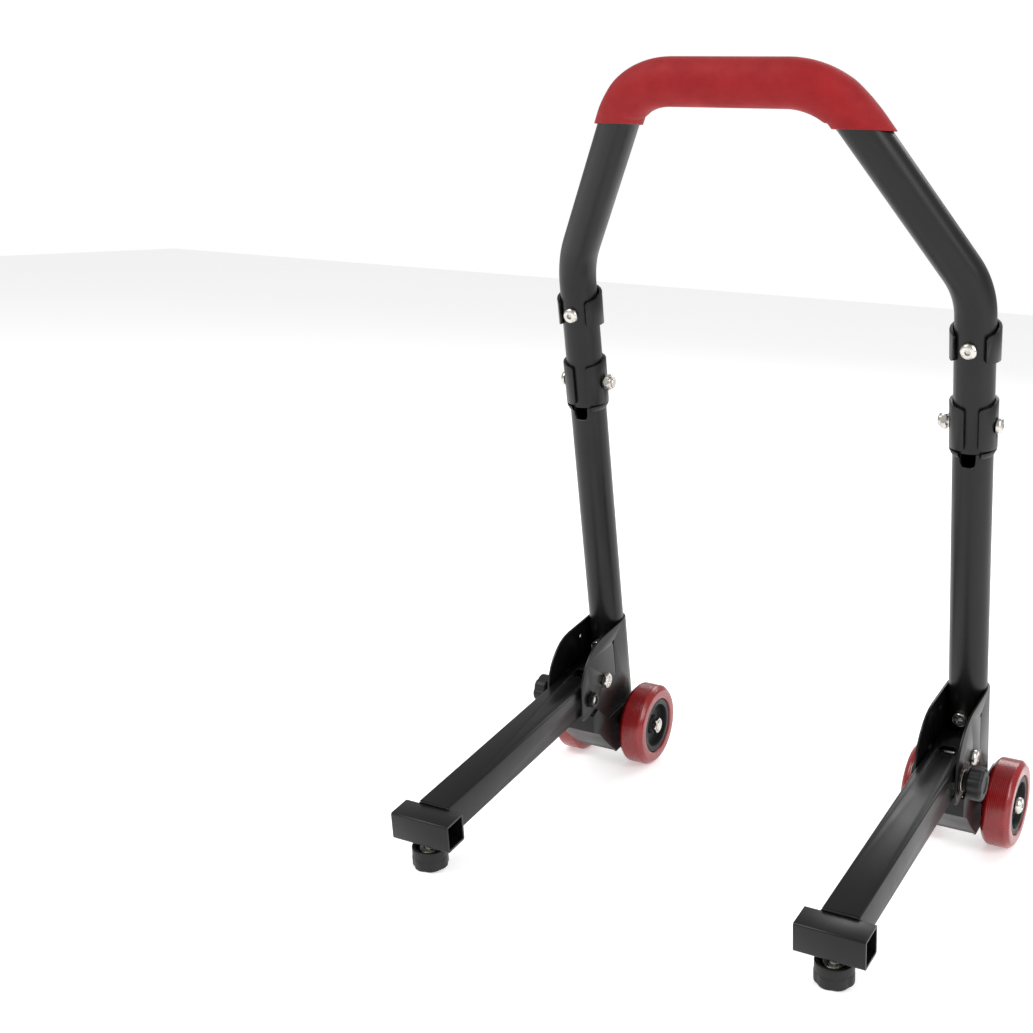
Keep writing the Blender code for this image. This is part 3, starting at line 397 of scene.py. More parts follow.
def effect_group(name: str, inputs: dict[str, float],
                 outputs: tuple[str, ...]) -> tuple[bpy.types.NodeTree, Shading]:
    """Empty node group with named number inputs and outputs."""
    tree = bpy.data.node_groups.new(name, "ShaderNodeTree")
    for key, value in inputs.items():
        socket = tree.interface.new_socket(name=key, in_out="INPUT", socket_type="NodeSocketFloat")
        socket.default_value = value
    for key in outputs:
        tree.interface.new_socket(name=key, in_out="OUTPUT", socket_type="NodeSocketFloat")
    return tree, Shading(tree)


def build_grain() -> bpy.types.NodeTree:
    """Group: a fine height and a coarse mask, both from noise on the object's own coordinates."""
    sizes = {"Grain Scale": 900.0, "Patch Scale": 25.0}
    tree, draw = effect_group("surface_grain", sizes, ("Height", "Patches"))
    source = draw.add("NodeGroupInput")
    place = draw.add("ShaderNodeTexCoord")
    fine = draw.add("ShaderNodeTexNoise", Vector=place.outputs["Object"], Scale=source.outputs["Grain Scale"],
                    Detail=3.0, Roughness=0.55)
    broad = draw.add("ShaderNodeTexNoise", Vector=place.outputs["Object"], Scale=source.outputs["Patch Scale"],
                     Detail=5.0, Roughness=0.6)
    patches = draw.span(broad.outputs["Fac"], 0.0, 1.0, 0.35, 0.65)
    result = draw.add("NodeGroupOutput")
    draw.feed(result, "Height", fine.outputs["Fac"])
    draw.feed(result, "Patches", patches)
    return tree


def build_wear() -> bpy.types.NodeTree:
    """Group: sparse rubbed spots and thin handling scratches, as one mask."""
    tree, draw = effect_group("handling_wear", {"Spot Scale": 60.0, "Amount": 0.5}, ("Wear",))
    source = draw.add("NodeGroupInput")
    place = draw.add("ShaderNodeTexCoord")
    spots = draw.add("ShaderNodeTexNoise", Vector=place.outputs["Object"], Scale=source.outputs["Spot Scale"],
                     Detail=8.0, Roughness=0.75)
    stretch = draw.add("ShaderNodeMapping", Vector=place.outputs["Object"], Scale=(1.0, 0.25, 0.08))
    lines = draw.add("ShaderNodeTexNoise", Vector=stretch.outputs["Vector"], Scale=700.0, Detail=2.0)
    rubbed = draw.span(spots.outputs["Fac"], 0.0, 1.0, 0.62, 0.72)
    scratched = draw.span(lines.outputs["Fac"], 0.0, 1.0, 0.66, 0.70)
    either = draw.add("ShaderNodeMath", {"operation": "MAXIMUM"})
    draw.tree.links.new(rubbed, either.inputs[0])
    draw.tree.links.new(scratched, either.inputs[1])
    scaled = draw.add("ShaderNodeMath", {"operation": "MULTIPLY"})
    draw.tree.links.new(either.outputs[0], scaled.inputs[0])
    draw.tree.links.new(source.outputs["Amount"], scaled.inputs[1])
    result = draw.add("NodeGroupOutput")
    draw.feed(result, "Wear", scaled.outputs[0])
    return tree


@dataclass(frozen=True)
class Finish:
    """A surface finish: two close base colours, a grain, and how it takes the light.

    Attributes:
        name: the material's name.
        colour: main colour.
        second: colour of the broad patches.
        worn: colour where it is rubbed.
        roughness: lowest and highest roughness.
        metallic: 1 for bare metal.
        grain: size of the grain, in grains per metre.
        relief: depth of the grain in metres.
        patch: size of the broad patches, in patches per metre.
        wear: how far the rubbed colour shows, from 0 to 1.
        coat: clear coat weight and its roughness.
        sheen: sheen weight.
        specular: specular level.
        subsurface: how far light wanders under the surface.
    """

    name: str
    colour: tuple[float, float, float, float]
    second: tuple[float, float, float, float]
    worn: tuple[float, float, float, float]
    roughness: tuple[float, float]
    metallic: float = 0.0
    grain: float = 900.0
    relief: float = 0.00001
    patch: float = 25.0
    wear: float = 0.0
    coat: tuple[float, float] = (0.0, 0.1)
    sheen: float = 0.0
    specular: float = 0.5
    subsurface: float = 0.0

    def make(self, grain: bpy.types.NodeTree, wear: bpy.types.NodeTree) -> bpy.types.Material:
        """Build the material.

        Args:
            grain: the grain group.
            wear: the wear group.

        Returns:
            The material, with its Principled shader outside the groups.
        """
        material = bpy.data.materials.new(self.name)
        material.use_nodes = True
        draw = Shading(material.node_tree)
        shader = material.node_tree.nodes["Principled BSDF"]
        fine = draw.add("ShaderNodeGroup", {"node_tree": grain}, Grain_Scale=self.grain,
                        Patch_Scale=self.patch)
        rubbed = draw.add("ShaderNodeGroup", {"node_tree": wear}, Spot_Scale=60.0, Amount=self.wear)
        colour = draw.mix(fine.outputs["Patches"], self.colour, self.second)
        colour = draw.mix(rubbed.outputs["Wear"], colour, self.worn)
        draw.feed(shader, "Base Color", colour)
        low, high = self.roughness
        draw.feed(shader, "Roughness", draw.span(fine.outputs["Patches"], low, high))
        bump = draw.add("ShaderNodeBump", Strength=1.0, Distance=self.relief, Height=fine.outputs["Height"])
        draw.feed(shader, "Normal", bump.outputs["Normal"])
        shader.inputs["Metallic"].default_value = self.metallic
        shader.inputs["Coat Weight"].default_value = self.coat[0]
        shader.inputs["Coat Roughness"].default_value = self.coat[1]
        shader.inputs["Sheen Weight"].default_value = self.sheen
        shader.inputs["Specular IOR Level"].default_value = self.specular
        shader.inputs["Subsurface Weight"].default_value = self.subsurface
        shader.inputs["Subsurface Radius"].default_value = (0.004, 0.001, 0.001)
        return material


FINISHES = {
    "black_paint": Finish("black_powder_coat", linear(13, 13, 14), linear(9, 9, 10), linear(30, 30, 29),
                          (0.30, 0.38), grain=1400.0, relief=0.000012, patch=18.0, wear=0.06, specular=0.32),
    "red_foam": Finish("red_grip_foam", linear(146, 22, 26), linear(134, 17, 22), linear(158, 36, 38),
                       (0.62, 0.74), grain=2600.0, relief=0.00006, patch=40.0, wear=0.06, sheen=0.04,
                       specular=0.22),
    "red_urethane": Finish("red_urethane", linear(142, 15, 20), linear(128, 11, 16), linear(156, 40, 42),
                           (0.20, 0.34), grain=500.0, relief=0.00002, patch=60.0, wear=0.05, coat=(0.25, 0.14),
                           subsurface=0.12),
    "black_plastic": Finish("black_nylon", linear(15, 15, 16), linear(11, 11, 12), linear(34, 34, 34),
                            (0.42, 0.55), grain=3200.0, relief=0.00002, patch=70.0, wear=0.06, specular=0.35),
    "zinc_steel": Finish("bright_zinc", (0.64, 0.62, 0.58, 1.0), (0.52, 0.50, 0.46, 1.0), (0.34, 0.31, 0.27, 1.0),
                         (0.18, 0.34), metallic=1.0, grain=2400.0, relief=0.000008, patch=180.0, wear=0.25),
    "black_steel": Finish("black_oxide", (0.035, 0.035, 0.037, 1.0), (0.025, 0.025, 0.026, 1.0),
                          (0.12, 0.11, 0.10, 1.0), (0.32, 0.45), metallic=0.7, grain=2000.0, relief=0.00001,
                          patch=120.0, wear=0.3),
}


class Wardrobe:
    """Every material, made once from its finish."""

    def __init__(self) -> None:
        """Build the shared groups and all the finishes."""
        grain = build_grain()
        wear = build_wear()
        self.materials = {key: finish.make(grain, wear) for key, finish in FINISHES.items()}

    def __getitem__(self, key: str) -> bpy.types.Material:
        """The material of a finish."""
        return self.materials[key]


# The stand's own frame

@dataclass(frozen=True)
class StandFrame:
    """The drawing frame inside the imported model.

    Attributes:
        half_spacing: middle of the stand to each upright.
        lean: forward lean of each upright.
        pivot: place of the leg's fold axis, back and up, in the drawing frame.
        stud: place of the lock stud.
        axle: place of the wheels' axle.
        receiver: how far ahead of the uprights the receiver's middle is.
        matrix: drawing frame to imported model.
    """

    half_spacing: float
    lean: float
    pivot: tuple[float, float]
    stud: tuple[float, float]
    axle: tuple[float, float]
    receiver: float
    matrix: Matrix

    @classmethod
    def from_joints(cls) -> "StandFrame":
        """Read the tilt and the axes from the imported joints; the receiver's joint fixes the origin."""
        joints = {joint["name"]: joint for joint in frame["joints"]}
        up = Vector(joints["foot_lift_right"]["axis"])
        tilt = math.atan2(-up.y, up.z)
        turn = Matrix.Rotation(tilt, 4, "X")
        foot = Vector(joints["foot_knob_turn_right"]["pos_m"])
        receiver = 0.3353
        origin = foot - turn @ Vector((foot.x, -receiver, 0.0))
        matrix = Matrix.Translation(origin) @ turn
        back = matrix.inverted()

        def seen(name: str) -> tuple[float, float]:
            """Place of a joint's axis in the drawing frame, back and up."""
            place = back @ Vector(joints[name]["pos_m"])
            return (place.y, place.z)

        return cls(foot.x, math.radians(4.24), seen("leg_fold_right"), seen("lock_knob_turn_right"),
                   seen("outer_wheel_spin_right"), receiver, matrix)

    def leg(self, side: float) -> Matrix:
        """Frame of one leg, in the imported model."""
        return self.matrix @ Matrix.Translation((side * self.half_spacing, 0.0, 0.0))

    def upright(self, side: float) -> Matrix:
        """Frame of one upright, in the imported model; its Z runs up the tube."""
        return self.leg(side) @ Matrix.Rotation(self.lean, 4, "X")


SIDES = (("left", -1.0), ("right", 1.0))

TUBE_RADIUS = 0.0167        # outside of the round tubes
TUBE_WALL = 0.0025
SCREW_RADIUS = 0.0040       # every screw but the axles
SCREW_PITCH = 0.00125
WASHER_BORE = 0.0043        # clearance hole round a screw, in a washer or a knob
BUTTON_HEAD = (0.0070, 0.0044)      # radius and height of a splice screw's head
BUTTON_SOCKET = 0.0026      # corner radius of its hex socket
PAINT_BEVEL = 0.0004        # softened edge of painted sheet


# Fasteners

@dataclass(frozen=True)
class SocketScrew:
    """Round-headed screw with a hex socket, head at the origin and shank along +Z.

    Attributes:
        head: radius of the head.
        height: height of the head.
        shank: radius of the shank.
        length: length of the shank.
        socket: corner radius of the hex socket.
        domed: a button head, or else a straight cap head.
    """

    head: float
    height: float
    shank: float
    length: float
    socket: float
    domed: bool = True

    def points(self, segments: int = 72) -> np.ndarray:
        """Grid from the socket's floor, over the head, to the shank's chamfered end."""
        angles = polar(segments)
        top = -self.height
        floor = top + min(self.height * 0.62, 0.0042)
        if self.domed:
            rim = [(top, self.socket * 1.42), (top * 0.86, self.head * 0.80), (top * 0.55, self.head * 0.955),
                   (top * 0.2, self.head), (0.0, self.head)]
        else:
            rim = [(top, self.head * 0.86), (top * 0.93, self.head), (0.0, self.head)]
        edge = softened(rim + [(0.0, self.shank)], 0.0004, closed=False)
        end = [(self.length - 0.0006, self.shank), (self.length, self.shank - 0.0006), (self.length, 0.0)]
        recess = [(floor + 0.0006, 0.0), (floor, self.socket), (top + 0.0003, self.socket),
                  (top, self.socket * 1.06)]
        stations = np.vstack((np.array(recess), edge, np.array(end)))
        factor = np.ones((len(stations), segments))
        factor[:4] = hexagon(angles)
        return turned(stations, angles, factor)


@dataclass(frozen=True)
class HexNut:
    """Hex nut standing on the origin, with rounded corners and a nylon collar if it is tall.

    Attributes:
        corner: radius of its corners.
        height: its height.
        bore: radius of its hole.
        collar: height of the round locking collar on its far end.
    """

    corner: float
    height: float
    bore: float
    collar: float = 0.0

    def points(self, segments: int = 96) -> np.ndarray:
        """Closed grid: reach is the smaller of the hexagon and a chamfering circle at each height."""
        angles = polar(segments)
        hexed = hexagon(angles) * self.corner
        flat = self.height - self.collar
        heights = np.array([0.0, 0.0, 0.0004, 0.0012, flat - 0.0012, flat - 0.0004, flat])
        circle = np.array([0.0, 0.885, 0.94, 1.0, 1.0, 0.94, 0.885]) * self.corner
        circle[0] = self.bore
        reach = np.minimum(hexed[None, :], circle[:, None])
        rows = [(height, row) for height, row in zip(heights, reach)]
        if self.collar > 0.0:
            ring = self.corner * 0.80
            rows += [(flat, np.full(segments, ring)), (flat + self.collar * 0.6, np.full(segments, ring)),
                     (self.height, np.full(segments, ring * 0.90))]
        inner = self.bore * 1.08
        rows += [(self.height, np.full(segments, inner)),
                 (self.height - 0.0005, np.full(segments, self.bore))]
        height = np.array([row[0] for row in rows])[:, None]
        reach = np.array([row[1] for row in rows])
        upward = np.broadcast_to(height, reach.shape)
        return np.stack((reach * np.cos(angles), reach * np.sin(angles), upward), axis=-1)


def ring(low: float, high: float, inner: float, outer: float, soft: float, segments: int = 72) -> np.ndarray:
    """Closed grid of a washer or short tube with softened edges."""
    loop = softened([(low, inner), (low, outer), (high, outer), (high, inner)], soft, closed=True, steps=3)
    return turned(loop, polar(segments))


def threaded(low: float, high: float, radius: float, pitch: float, segments: int = 48) -> np.ndarray:
    """Bar with thread ridges: its radius falls by a third of the pitch between crests."""
    count = max(4, int(round((high - low) / pitch)) * 6)
    height = np.linspace(low, high, count + 1)
    ridge = 0.5 - 0.5 * np.cos(TAU * (height - low) / pitch)
    reach = radius - 0.33 * pitch * (1.0 - ridge)
    stations = np.column_stack((height, reach))
    ends = (np.array([[low, 0.0]]), np.array([[high, 0.0]]))
    return turned(np.vstack((ends[0], stations, ends[1])), polar(segments))


# Sub-assemblies

@dataclass
class HandleBow:
    """The bent handle tube and its foam sleeve.

    Attributes:
        radius: outer radius of the tube.
        wall: wall of the tube.
        foot: where its ends stand, measured along the uprights.
        mid_bend: where it leaves the uprights' line.
        corner: corner of its middle line: half width, forward and up.
        mid_radius: radius of the two lower bends.
        corner_radius: radius of the two upper bends.
        grip_wall: thickness of the sleeve.
        grip_drop: how far below each corner the sleeve ends.
        grip_fade: height over which the level cut of its ends dies away.
    """

    stand: StandFrame
    wardrobe: Wardrobe
    radius: float = TUBE_RADIUS
    wall: float = TUBE_WALL
    foot: float = 0.2803
    mid_bend: float = 0.4154
    corner: tuple[float, float, float] = (0.0838, 0.0981, 0.5824)
    mid_radius: float = 0.075
    corner_radius: float = 0.058
    grip_wall: float = 0.0024
    grip_drop: float = 0.0304
    grip_fade: float = 0.020

    def corners(self) -> list[Vector]:
        """Ends and corners of the middle line, from left to right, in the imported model."""
        line = []
        for _name, side in SIDES:
            upright = self.stand.upright(side)
            half, forward, up = self.corner
            run = [upright @ Vector((0.0, 0.0, self.foot)), upright @ Vector((0.0, 0.0, self.mid_bend)),
                   self.stand.matrix @ Vector((side * half, -forward, up))]
            line += run if side < 0 else run[::-1]
        return line

    def path(self) -> Path:
        """The middle line of the tube."""
        radii = [self.mid_radius, self.corner_radius, self.corner_radius, self.mid_radius]
        return Path.filleted(self.corners(), radii, 0.0025)

    def shell(self, path: Path, start: float, end: float, inner: float, outer: float,
              soft: float) -> np.ndarray:
        """Closed grid of a tube along part of a path, with softened rims."""
        count = max(2, int((end - start) / 0.003))
        ends = softened([(start, (inner + outer) / 2), (start, outer), (start + 4 * soft, outer)], soft, False)
        along = np.linspace(start + 5 * soft, end - 5 * soft, count)
        middle = np.column_stack((along, np.full(count, outer)))
        far = ends[::-1].copy()
        far[:, 0] = start + end - far[:, 0]
        rim = np.array([[end, inner], [end - 5 * soft, inner]])
        back = np.column_stack((middle[::-1, 0], np.full(count, inner)))
        loop = np.vstack((ends, middle, far, rim, back, [[start, inner]]))
        return path.swept(loop, polar(72))

    def levelled(self, points: np.ndarray, run: Vector) -> np.ndarray:
        """Sleeve with its two ends cut level.

        Each point near an end slides along the tube, by its height above its ring's middle divided by the
        tube's slope; the slide fades to nothing grip_fade higher.
        """
        middle = points.mean(axis=1, keepdims=True)
        along = np.array((run.x, run.y, run.z))
        lift = points[..., 2:3] - middle[..., 2:3]
        fade = np.clip(1.0 - (middle[..., 2:3] - middle[..., 2].min()) / self.grip_fade, 0.0, 1.0)
        way = along * np.where(middle[..., :1] < 0.0, 1.0, 0.0)
        mirrored = along * (-1.0, 1.0, 1.0) * np.where(middle[..., :1] < 0.0, 0.0, 1.0)
        return points - (way + mirrored) * lift * fade / run.z

    def build(self) -> None:
        """Make the tube and the sleeve."""
        path = self.path()
        total = path.lengths[-1]
        shell = self.shell(path, 0.0, total, self.radius - self.wall, self.radius, PAINT_BEVEL)
        tube = surface("bow_tube", shell, True)
        finished(tube, self.wardrobe["black_paint"], Body.FRAME.value, ("handle_bow",))
        corners = self.corners()
        run = (corners[1] - corners[2]).normalized()
        run *= self.grip_drop / -run.z
        start = path.nearest(corners[2] + run)
        inner = self.radius + GAP
        outer = inner + self.grip_wall
        points = self.levelled(self.shell(path, start, total - start, inner, outer, 0.0009), run.normalized())
        sleeve = surface("grip_foam", points, True)
        finished(sleeve, self.wardrobe["red_foam"], Body.FRAME.value, ("grip_sleeve",))


@dataclass
class Upright:
    """Lower tube of one side, with the notch in the front of its top edge.

    Attributes:
        radius: outer radius.
        wall: wall of the tube.
        bottom: lower end along the tube.
        top: upper end along the tube.
        notch_half: half width of the notch.
        notch_depth: how far down it reaches.
    """

    stand: StandFrame
    wardrobe: Wardrobe
    name: str
    side: float
    radius: float = TUBE_RADIUS
    wall: float = TUBE_WALL
    bottom: float = -0.0450
    top: float = 0.2800
    notch_half: float = 0.0070
    notch_depth: float = 0.0120

    def rim(self, angles: np.ndarray) -> np.ndarray:
        """Height of the top edge at each angle from the front: lower inside the notch, with round corners.

        The notch's edge is a superellipse, depth (1 - |x / half|^4)^(1/4), where x is the arc from the front.
        """
        share = np.clip(np.abs(angles) * self.radius / self.notch_half, 0.0, 1.0)
        return self.top - self.notch_depth * (1.0 - share ** 4) ** 0.25

    def build(self) -> None:
        """Make the tube."""
        half = self.notch_half / self.radius
        inside = np.sin(np.linspace(-0.5, 0.5, 33) * math.pi) * half
        outside = np.linspace(half, TAU - half, 66)[1:-1]
        angles = np.concatenate((inside, outside))
        wrapped = np.where(angles > math.pi, angles - TAU, angles)
        top = self.rim(wrapped)
        soft = 0.0003
        inner = self.radius - self.wall
        rows = [(self.radius, np.full_like(top, self.bottom)), (self.radius, top - soft),
                (self.radius - soft, top), (inner + soft, top), (inner, top - soft),
                (inner, np.full_like(top, self.bottom))]
        points = np.stack([np.stack((reach * np.sin(angles), -reach * np.cos(angles), height), axis=-1)
                           for reach, height in rows])
        tube = surface(f"upright_{self.name}", moved(points, self.stand.upright(self.side)), True)
        node = f"upright_tube_{self.name}"
        finished(tube, self.wardrobe["black_paint"], Body.FRAME.value, (node,))


@dataclass
class Splice:
    """Collar, weld and bolts that join the bow to one upright.

    Attributes:
        lock_height: height of the front-to-back bolt.
        cross_height: height of the side-to-side bolt.
        tube: outer radius of the tubes.
        wall: wall of the collar.
        flare: how much wider the upper band is.
        backset: how far back the upper band sits.
        weld: lower and upper edge of the weld round the collar's foot.
    """

    stand: StandFrame
    wardrobe: Wardrobe
    name: str
    side: float
    lock_height: float = 0.3703
    cross_height: float = 0.3017
    tube: float = TUBE_RADIUS
    wall: float = 0.0025
    flare: float = 0.0011
    backset: float = 0.0010
    weld: tuple[float, float] = (0.2755, 0.2812)

    def weld_points(self) -> np.ndarray:
        """Fillet of weld round the collar's foot, rippled and open at the notch.

        Its outer radius falls from the collar to the tube; ripples add 0.25 sin(70 a) mm.
        """
        low, high = self.weld
        angles = np.linspace(0.62, TAU - 0.42, 200)
        stations = np.array([(low, self.tube + 0.0001), (low + 0.0012, self.tube + 0.0011),
                             (high - 0.0016, self.tube + 0.0024), (high - 0.0002, self.tube + 0.0026),
                             (high - 0.0002, self.tube + 0.0001)])
        ripple = 1.0 + np.outer([0.0, 0.006, 0.011, 0.003, 0.0], np.sin(70.0 * angles))
        return turned(stations, angles - math.pi / 2, ripple)

    def build(self) -> None:
        """Make the collar, its weld and its fasteners."""
        upright = self.stand.upright(self.side)
        zinc = self.wardrobe["zinc_steel"]
        body = Body.FRAME.value
        collar = refined(f"splice_collar_{self.name}", f"collar_{self.name}", PAINT_BEVEL)
        finished(collar, self.wardrobe["black_paint"], body, (f"splice_collar_{self.name}",))
        weld = surface(f"collar_weld_{self.name}", moved(self.weld_points(), upright), True, False)
        finished(weld, self.wardrobe["black_paint"], body, ())
        back = Vector((0.0, 1.0, 0.0))
        outward = Vector((self.side, 0.0, 0.0))
        spine = self.tube + GAP + self.flare + self.backset + self.wall + GAP
        seat = self.tube + GAP
        middle = Vector((0.0, 0.0, self.lock_height))
        screw = SocketScrew(*BUTTON_HEAD, SCREW_RADIUS, seat + spine + 0.0078, BUTTON_SOCKET)
        self.fastener("lock_screw", screw.points(), upright @ facing(back, middle - back * seat),
                      "splice_lock_bolt", zinc)
        nut = HexNut(0.0075, 0.0070, 0.0041, 0.0022)
        self.fastener("lock_screw_nut", nut.points(), upright @ facing(back, middle + back * spine),
                      "splice_lock_nut", zinc, True)
        face = self.tube + 2 * GAP + self.wall
        middle = Vector((0.0, 0.0, self.cross_height))
        screw = SocketScrew(*BUTTON_HEAD, SCREW_RADIUS, 2 * face + 0.0092, BUTTON_SOCKET)
        self.fastener("cross_screw", screw.points(), upright @ facing(-outward, middle + outward * face),
                      "splice_cross_bolt", zinc)
        self.fastener("cross_screw_nut", nut.points(),
                      upright @ facing(-outward, middle - outward * (face + 0.0012)), "splice_cross_nut", zinc, True)

    def fastener(self, name: str, points: np.ndarray, matrix: Matrix, node: str, material: bpy.types.Material,
                 closed: bool = False) -> None:
        """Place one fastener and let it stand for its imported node."""
        piece = surface(f"{name}_{self.name}", moved(points, matrix), closed)
        finished(piece, material, Body.FRAME.value, (f"{node}_{self.name}",), 30.0)


@dataclass
class Bracket:
    """Folded bracket, wheel yoke, and the screws through them, on one side.

    Attributes:
        outer: half width outside its cheeks.
        tube: outer radius of the upright.
        screw_height: height of the screw that clamps the upright.
    """

    stand: StandFrame
    wardrobe: Wardrobe
    name: str
    side: float
    outer: float = 0.0188
    tube: float = TUBE_RADIUS
    screw_height: float = 0.0284

    def build(self) -> None:
        """Make the sheet pieces and their fasteners."""
        paint = self.wardrobe["black_paint"]
        zinc = self.wardrobe["zinc_steel"]
        body = Body.FRAME.value
        for node, name in (("bracket_channel", "bracket"), ("wheel_yoke", "yoke")):
            piece = refined(f"{node}_{self.name}", f"{name}_{self.name}", 0.00045)
            finished(piece, paint, body, (f"{node}_{self.name}",))
        upright = self.stand.upright(self.side)
        leg = self.stand.leg(self.side)
        back = Vector((0.0, 1.0, 0.0))
        outward = Vector((self.side, 0.0, 0.0))
        seat = self.tube + GAP
        rear = self.outer + GAP
        middle = Vector((0.0, 0.0, self.screw_height))
        screw = SocketScrew(0.0065, 0.0080, SCREW_RADIUS, seat + rear + 0.0078, 0.0033, domed=False)
        nut = HexNut(0.0075, 0.0070, 0.0041, 0.0022)
        axle = Vector((0.0, *self.stand.axle))
        pivot = Vector((0.0, *self.stand.pivot))
        face = self.outer + GAP
        hub_face = 0.0456 + GAP
        pivot_screw = SocketScrew(0.0072, 0.0044, SCREW_RADIUS, 2 * face + 0.0042, BUTTON_SOCKET)
        cap_nut = HexNut(0.0076, 0.0042, 0.0041)
        axle_screw = SocketScrew(0.0080, 0.0058, 0.0050, 2 * hub_face + 0.0052, 0.0031)
        axle_nut = HexNut(0.0080, 0.0042, 0.0051)
        pieces = (
            ("upright_screw", screw.points(), upright @ facing(back, middle - back * seat),
             "upright_bolt", False),
            ("upright_screw_nut", nut.points(), upright @ facing(back, middle + back * rear),
             "upright_nut", True),
            ("pivot_screw", pivot_screw.points(), leg @ facing(-outward, pivot + outward * face),
             "leg_pivot_bolt", False),
            ("pivot_screw_nut", cap_nut.points(), leg @ facing(-outward, pivot - outward * face),
             "leg_pivot_nut", True),
            ("axle_screw", axle_screw.points(), leg @ facing(-outward, axle + outward * hub_face),
             "axle_bolt", False),
            ("axle_screw_nut", axle_nut.points(), leg @ facing(-outward, axle - outward * hub_face),
             "axle_nut", True),
        )
        for name, points, matrix, node, closed in pieces:
            piece = surface(f"{name}_{self.name}", moved(points, matrix), closed)
            finished(piece, zinc, body, (f"{node}_{self.name}",), 30.0)


@dataclass
class Leg:
    """Folding leg tube, its receiver and the weld between them.

    Attributes:
        front: how far ahead of the uprights the leg tube ends.
        half_leg: half of the leg tube's size.
        half_receiver: half of the receiver's size.
    """

    stand: StandFrame
    wardrobe: Wardrobe
    name: str
    side: float
    front: float = 0.3225
    half_leg: float = 0.015
    half_receiver: float = 0.0125

    def weld_points(self) -> np.ndarray:
        """Bead round the joint on three sides: radius 1.4 mm, with ripples of 12%, on a rounded path."""
        y = -self.front
        half = self.half_leg - 0.0005
        top = self.half_receiver + 0.0004
        corners = [Vector((-half, y, -top)), Vector((-half, y, top)),
                   Vector((half, y, top)), Vector((half, y, -top))]
        path = Path.filleted(corners, [0.002, 0.002], 0.0006)
        total = path.lengths[-1]
        along = np.linspace(0.0, total, 260)
        bead = 0.0014 * np.sqrt(np.clip(1.0 - (2.0 * along / total - 1.0) ** 8, 0.0, 1.0))
        stations = np.column_stack((along, bead))
        angles = polar(14)
        ripple = 1.0 + 0.12 * np.sin(along[:, None] * TAU / 0.0016 + 0.6 * np.cos(angles)[None, :])
        return path.swept(stations, angles, ripple)

    def build(self) -> None:
        """Make the leg tube, the receiver and the weld."""
        paint = self.wardrobe["black_paint"]
        body = Body.LEG.value.format(side=self.name)
        for node, name in (("leg_tube", "leg"), ("receiver_tube", "receiver")):
            piece = refined(f"{node}_{self.name}", f"{name}_{self.name}", 0.0003)
            finished(piece, paint, body, (f"{node}_{self.name}",))
        bead = moved(self.weld_points(), self.stand.leg(self.side))
        weld = surface(f"receiver_weld_{self.name}", bead, False)
        finished(weld, paint, body, ())


def lobes(angles: np.ndarray, count: int, depth: float) -> np.ndarray:
    """Reach of a star knob: 1 - depth (0.5 - 0.5 cos(count a))^2."""
    return 1.0 - depth * (0.5 - 0.5 * np.cos(count * angles)) ** 2


@dataclass
class StarKnob:
    """Lobed plastic knob turned about Z from its boss to its crown.

    Attributes:
        radius: reach of its lobes.
        boss: radius of its boss.
        boss_length: length of its boss.
        thickness: whole thickness.
        count: number of lobes.
        depth: depth of the hollows between them, as a share of the radius.
    """

    radius: float = 0.0150
    boss: float = 0.0092
    boss_length: float = 0.0035
    thickness: float = 0.0175
    count: int = 7
    depth: float = 0.09

    def points(self, segments: int = 168) -> np.ndarray:
        """Grid from the boss's face, over the lobes, to the middle of the crown."""
        angles = polar(segments)
        skirt = self.boss_length
        far = self.thickness
        corners = [(0.0, 0.0), (0.0, self.boss), (skirt, self.boss), (skirt, self.radius * 0.86),
                   (skirt + 0.0018, self.radius), (far - 0.0020, self.radius), (far, self.radius * 0.84),
                   (far, self.radius * 0.52), (far - 0.0012, self.radius * 0.46), (far - 0.0012, 0.0)]
        stations = softened(corners, 0.0011, closed=False)
        share = np.clip((stations[:, 1] / self.radius - 0.62) / 0.2, 0.0, 1.0)[:, None]
        factor = 1.0 + share * (lobes(angles, self.count, self.depth)[None, :] - 1.0)
        return turned(stations, angles, factor)


@dataclass
class Lock:
    """Lock knob with its stud, washer and nut, on one side."""

    stand: StandFrame
    wardrobe: Wardrobe
    name: str
    side: float
    face: float = 0.0191
    washer: float = 0.0012

    def build(self) -> None:
        """Make the four pieces."""
        outward = Vector((self.side, 0.0, 0.0))
        place = Vector((0.0, *self.stand.stud))
        leg = self.stand.leg(self.side)
        turn = Body.LOCK_TURN.value.format(side=self.name)
        knob_face = self.face + self.washer + GAP
        blind = knob_face + 0.0120
        stud_end = -self.face - 0.0035
        out = leg @ facing(outward, place)
        knob = StarKnob().points() + np.array((0.0, 0.0, knob_face))
        pieces = (
            ("star_knob", knob, out, "lock_knob", "black_plastic", turn, False),
            ("lock_screw_stud", threaded(stud_end, blind, SCREW_RADIUS, SCREW_PITCH), out, "lock_stud",
             "zinc_steel", turn, False),
            ("lock_flat_washer", ring(self.face, self.face + self.washer, WASHER_BORE, 0.0095, 0.0003),
             out, "lock_washer", "zinc_steel", Body.LOCK_SLIDE.value.format(side=self.name), True),
            ("lock_hex", HexNut(0.0075, 0.0050, 0.0042).points(),
             leg @ facing(-outward, place - outward * self.face), "lock_nut", "black_steel", Body.FRAME.value, True),
        )
        for name, points, matrix, node, slot, body, closed in pieces:
            piece = surface(f"{name}_{self.name}", moved(points, matrix), closed)
            finished(piece, self.wardrobe[slot], body, (f"{node}_{self.name}",), 32.0)


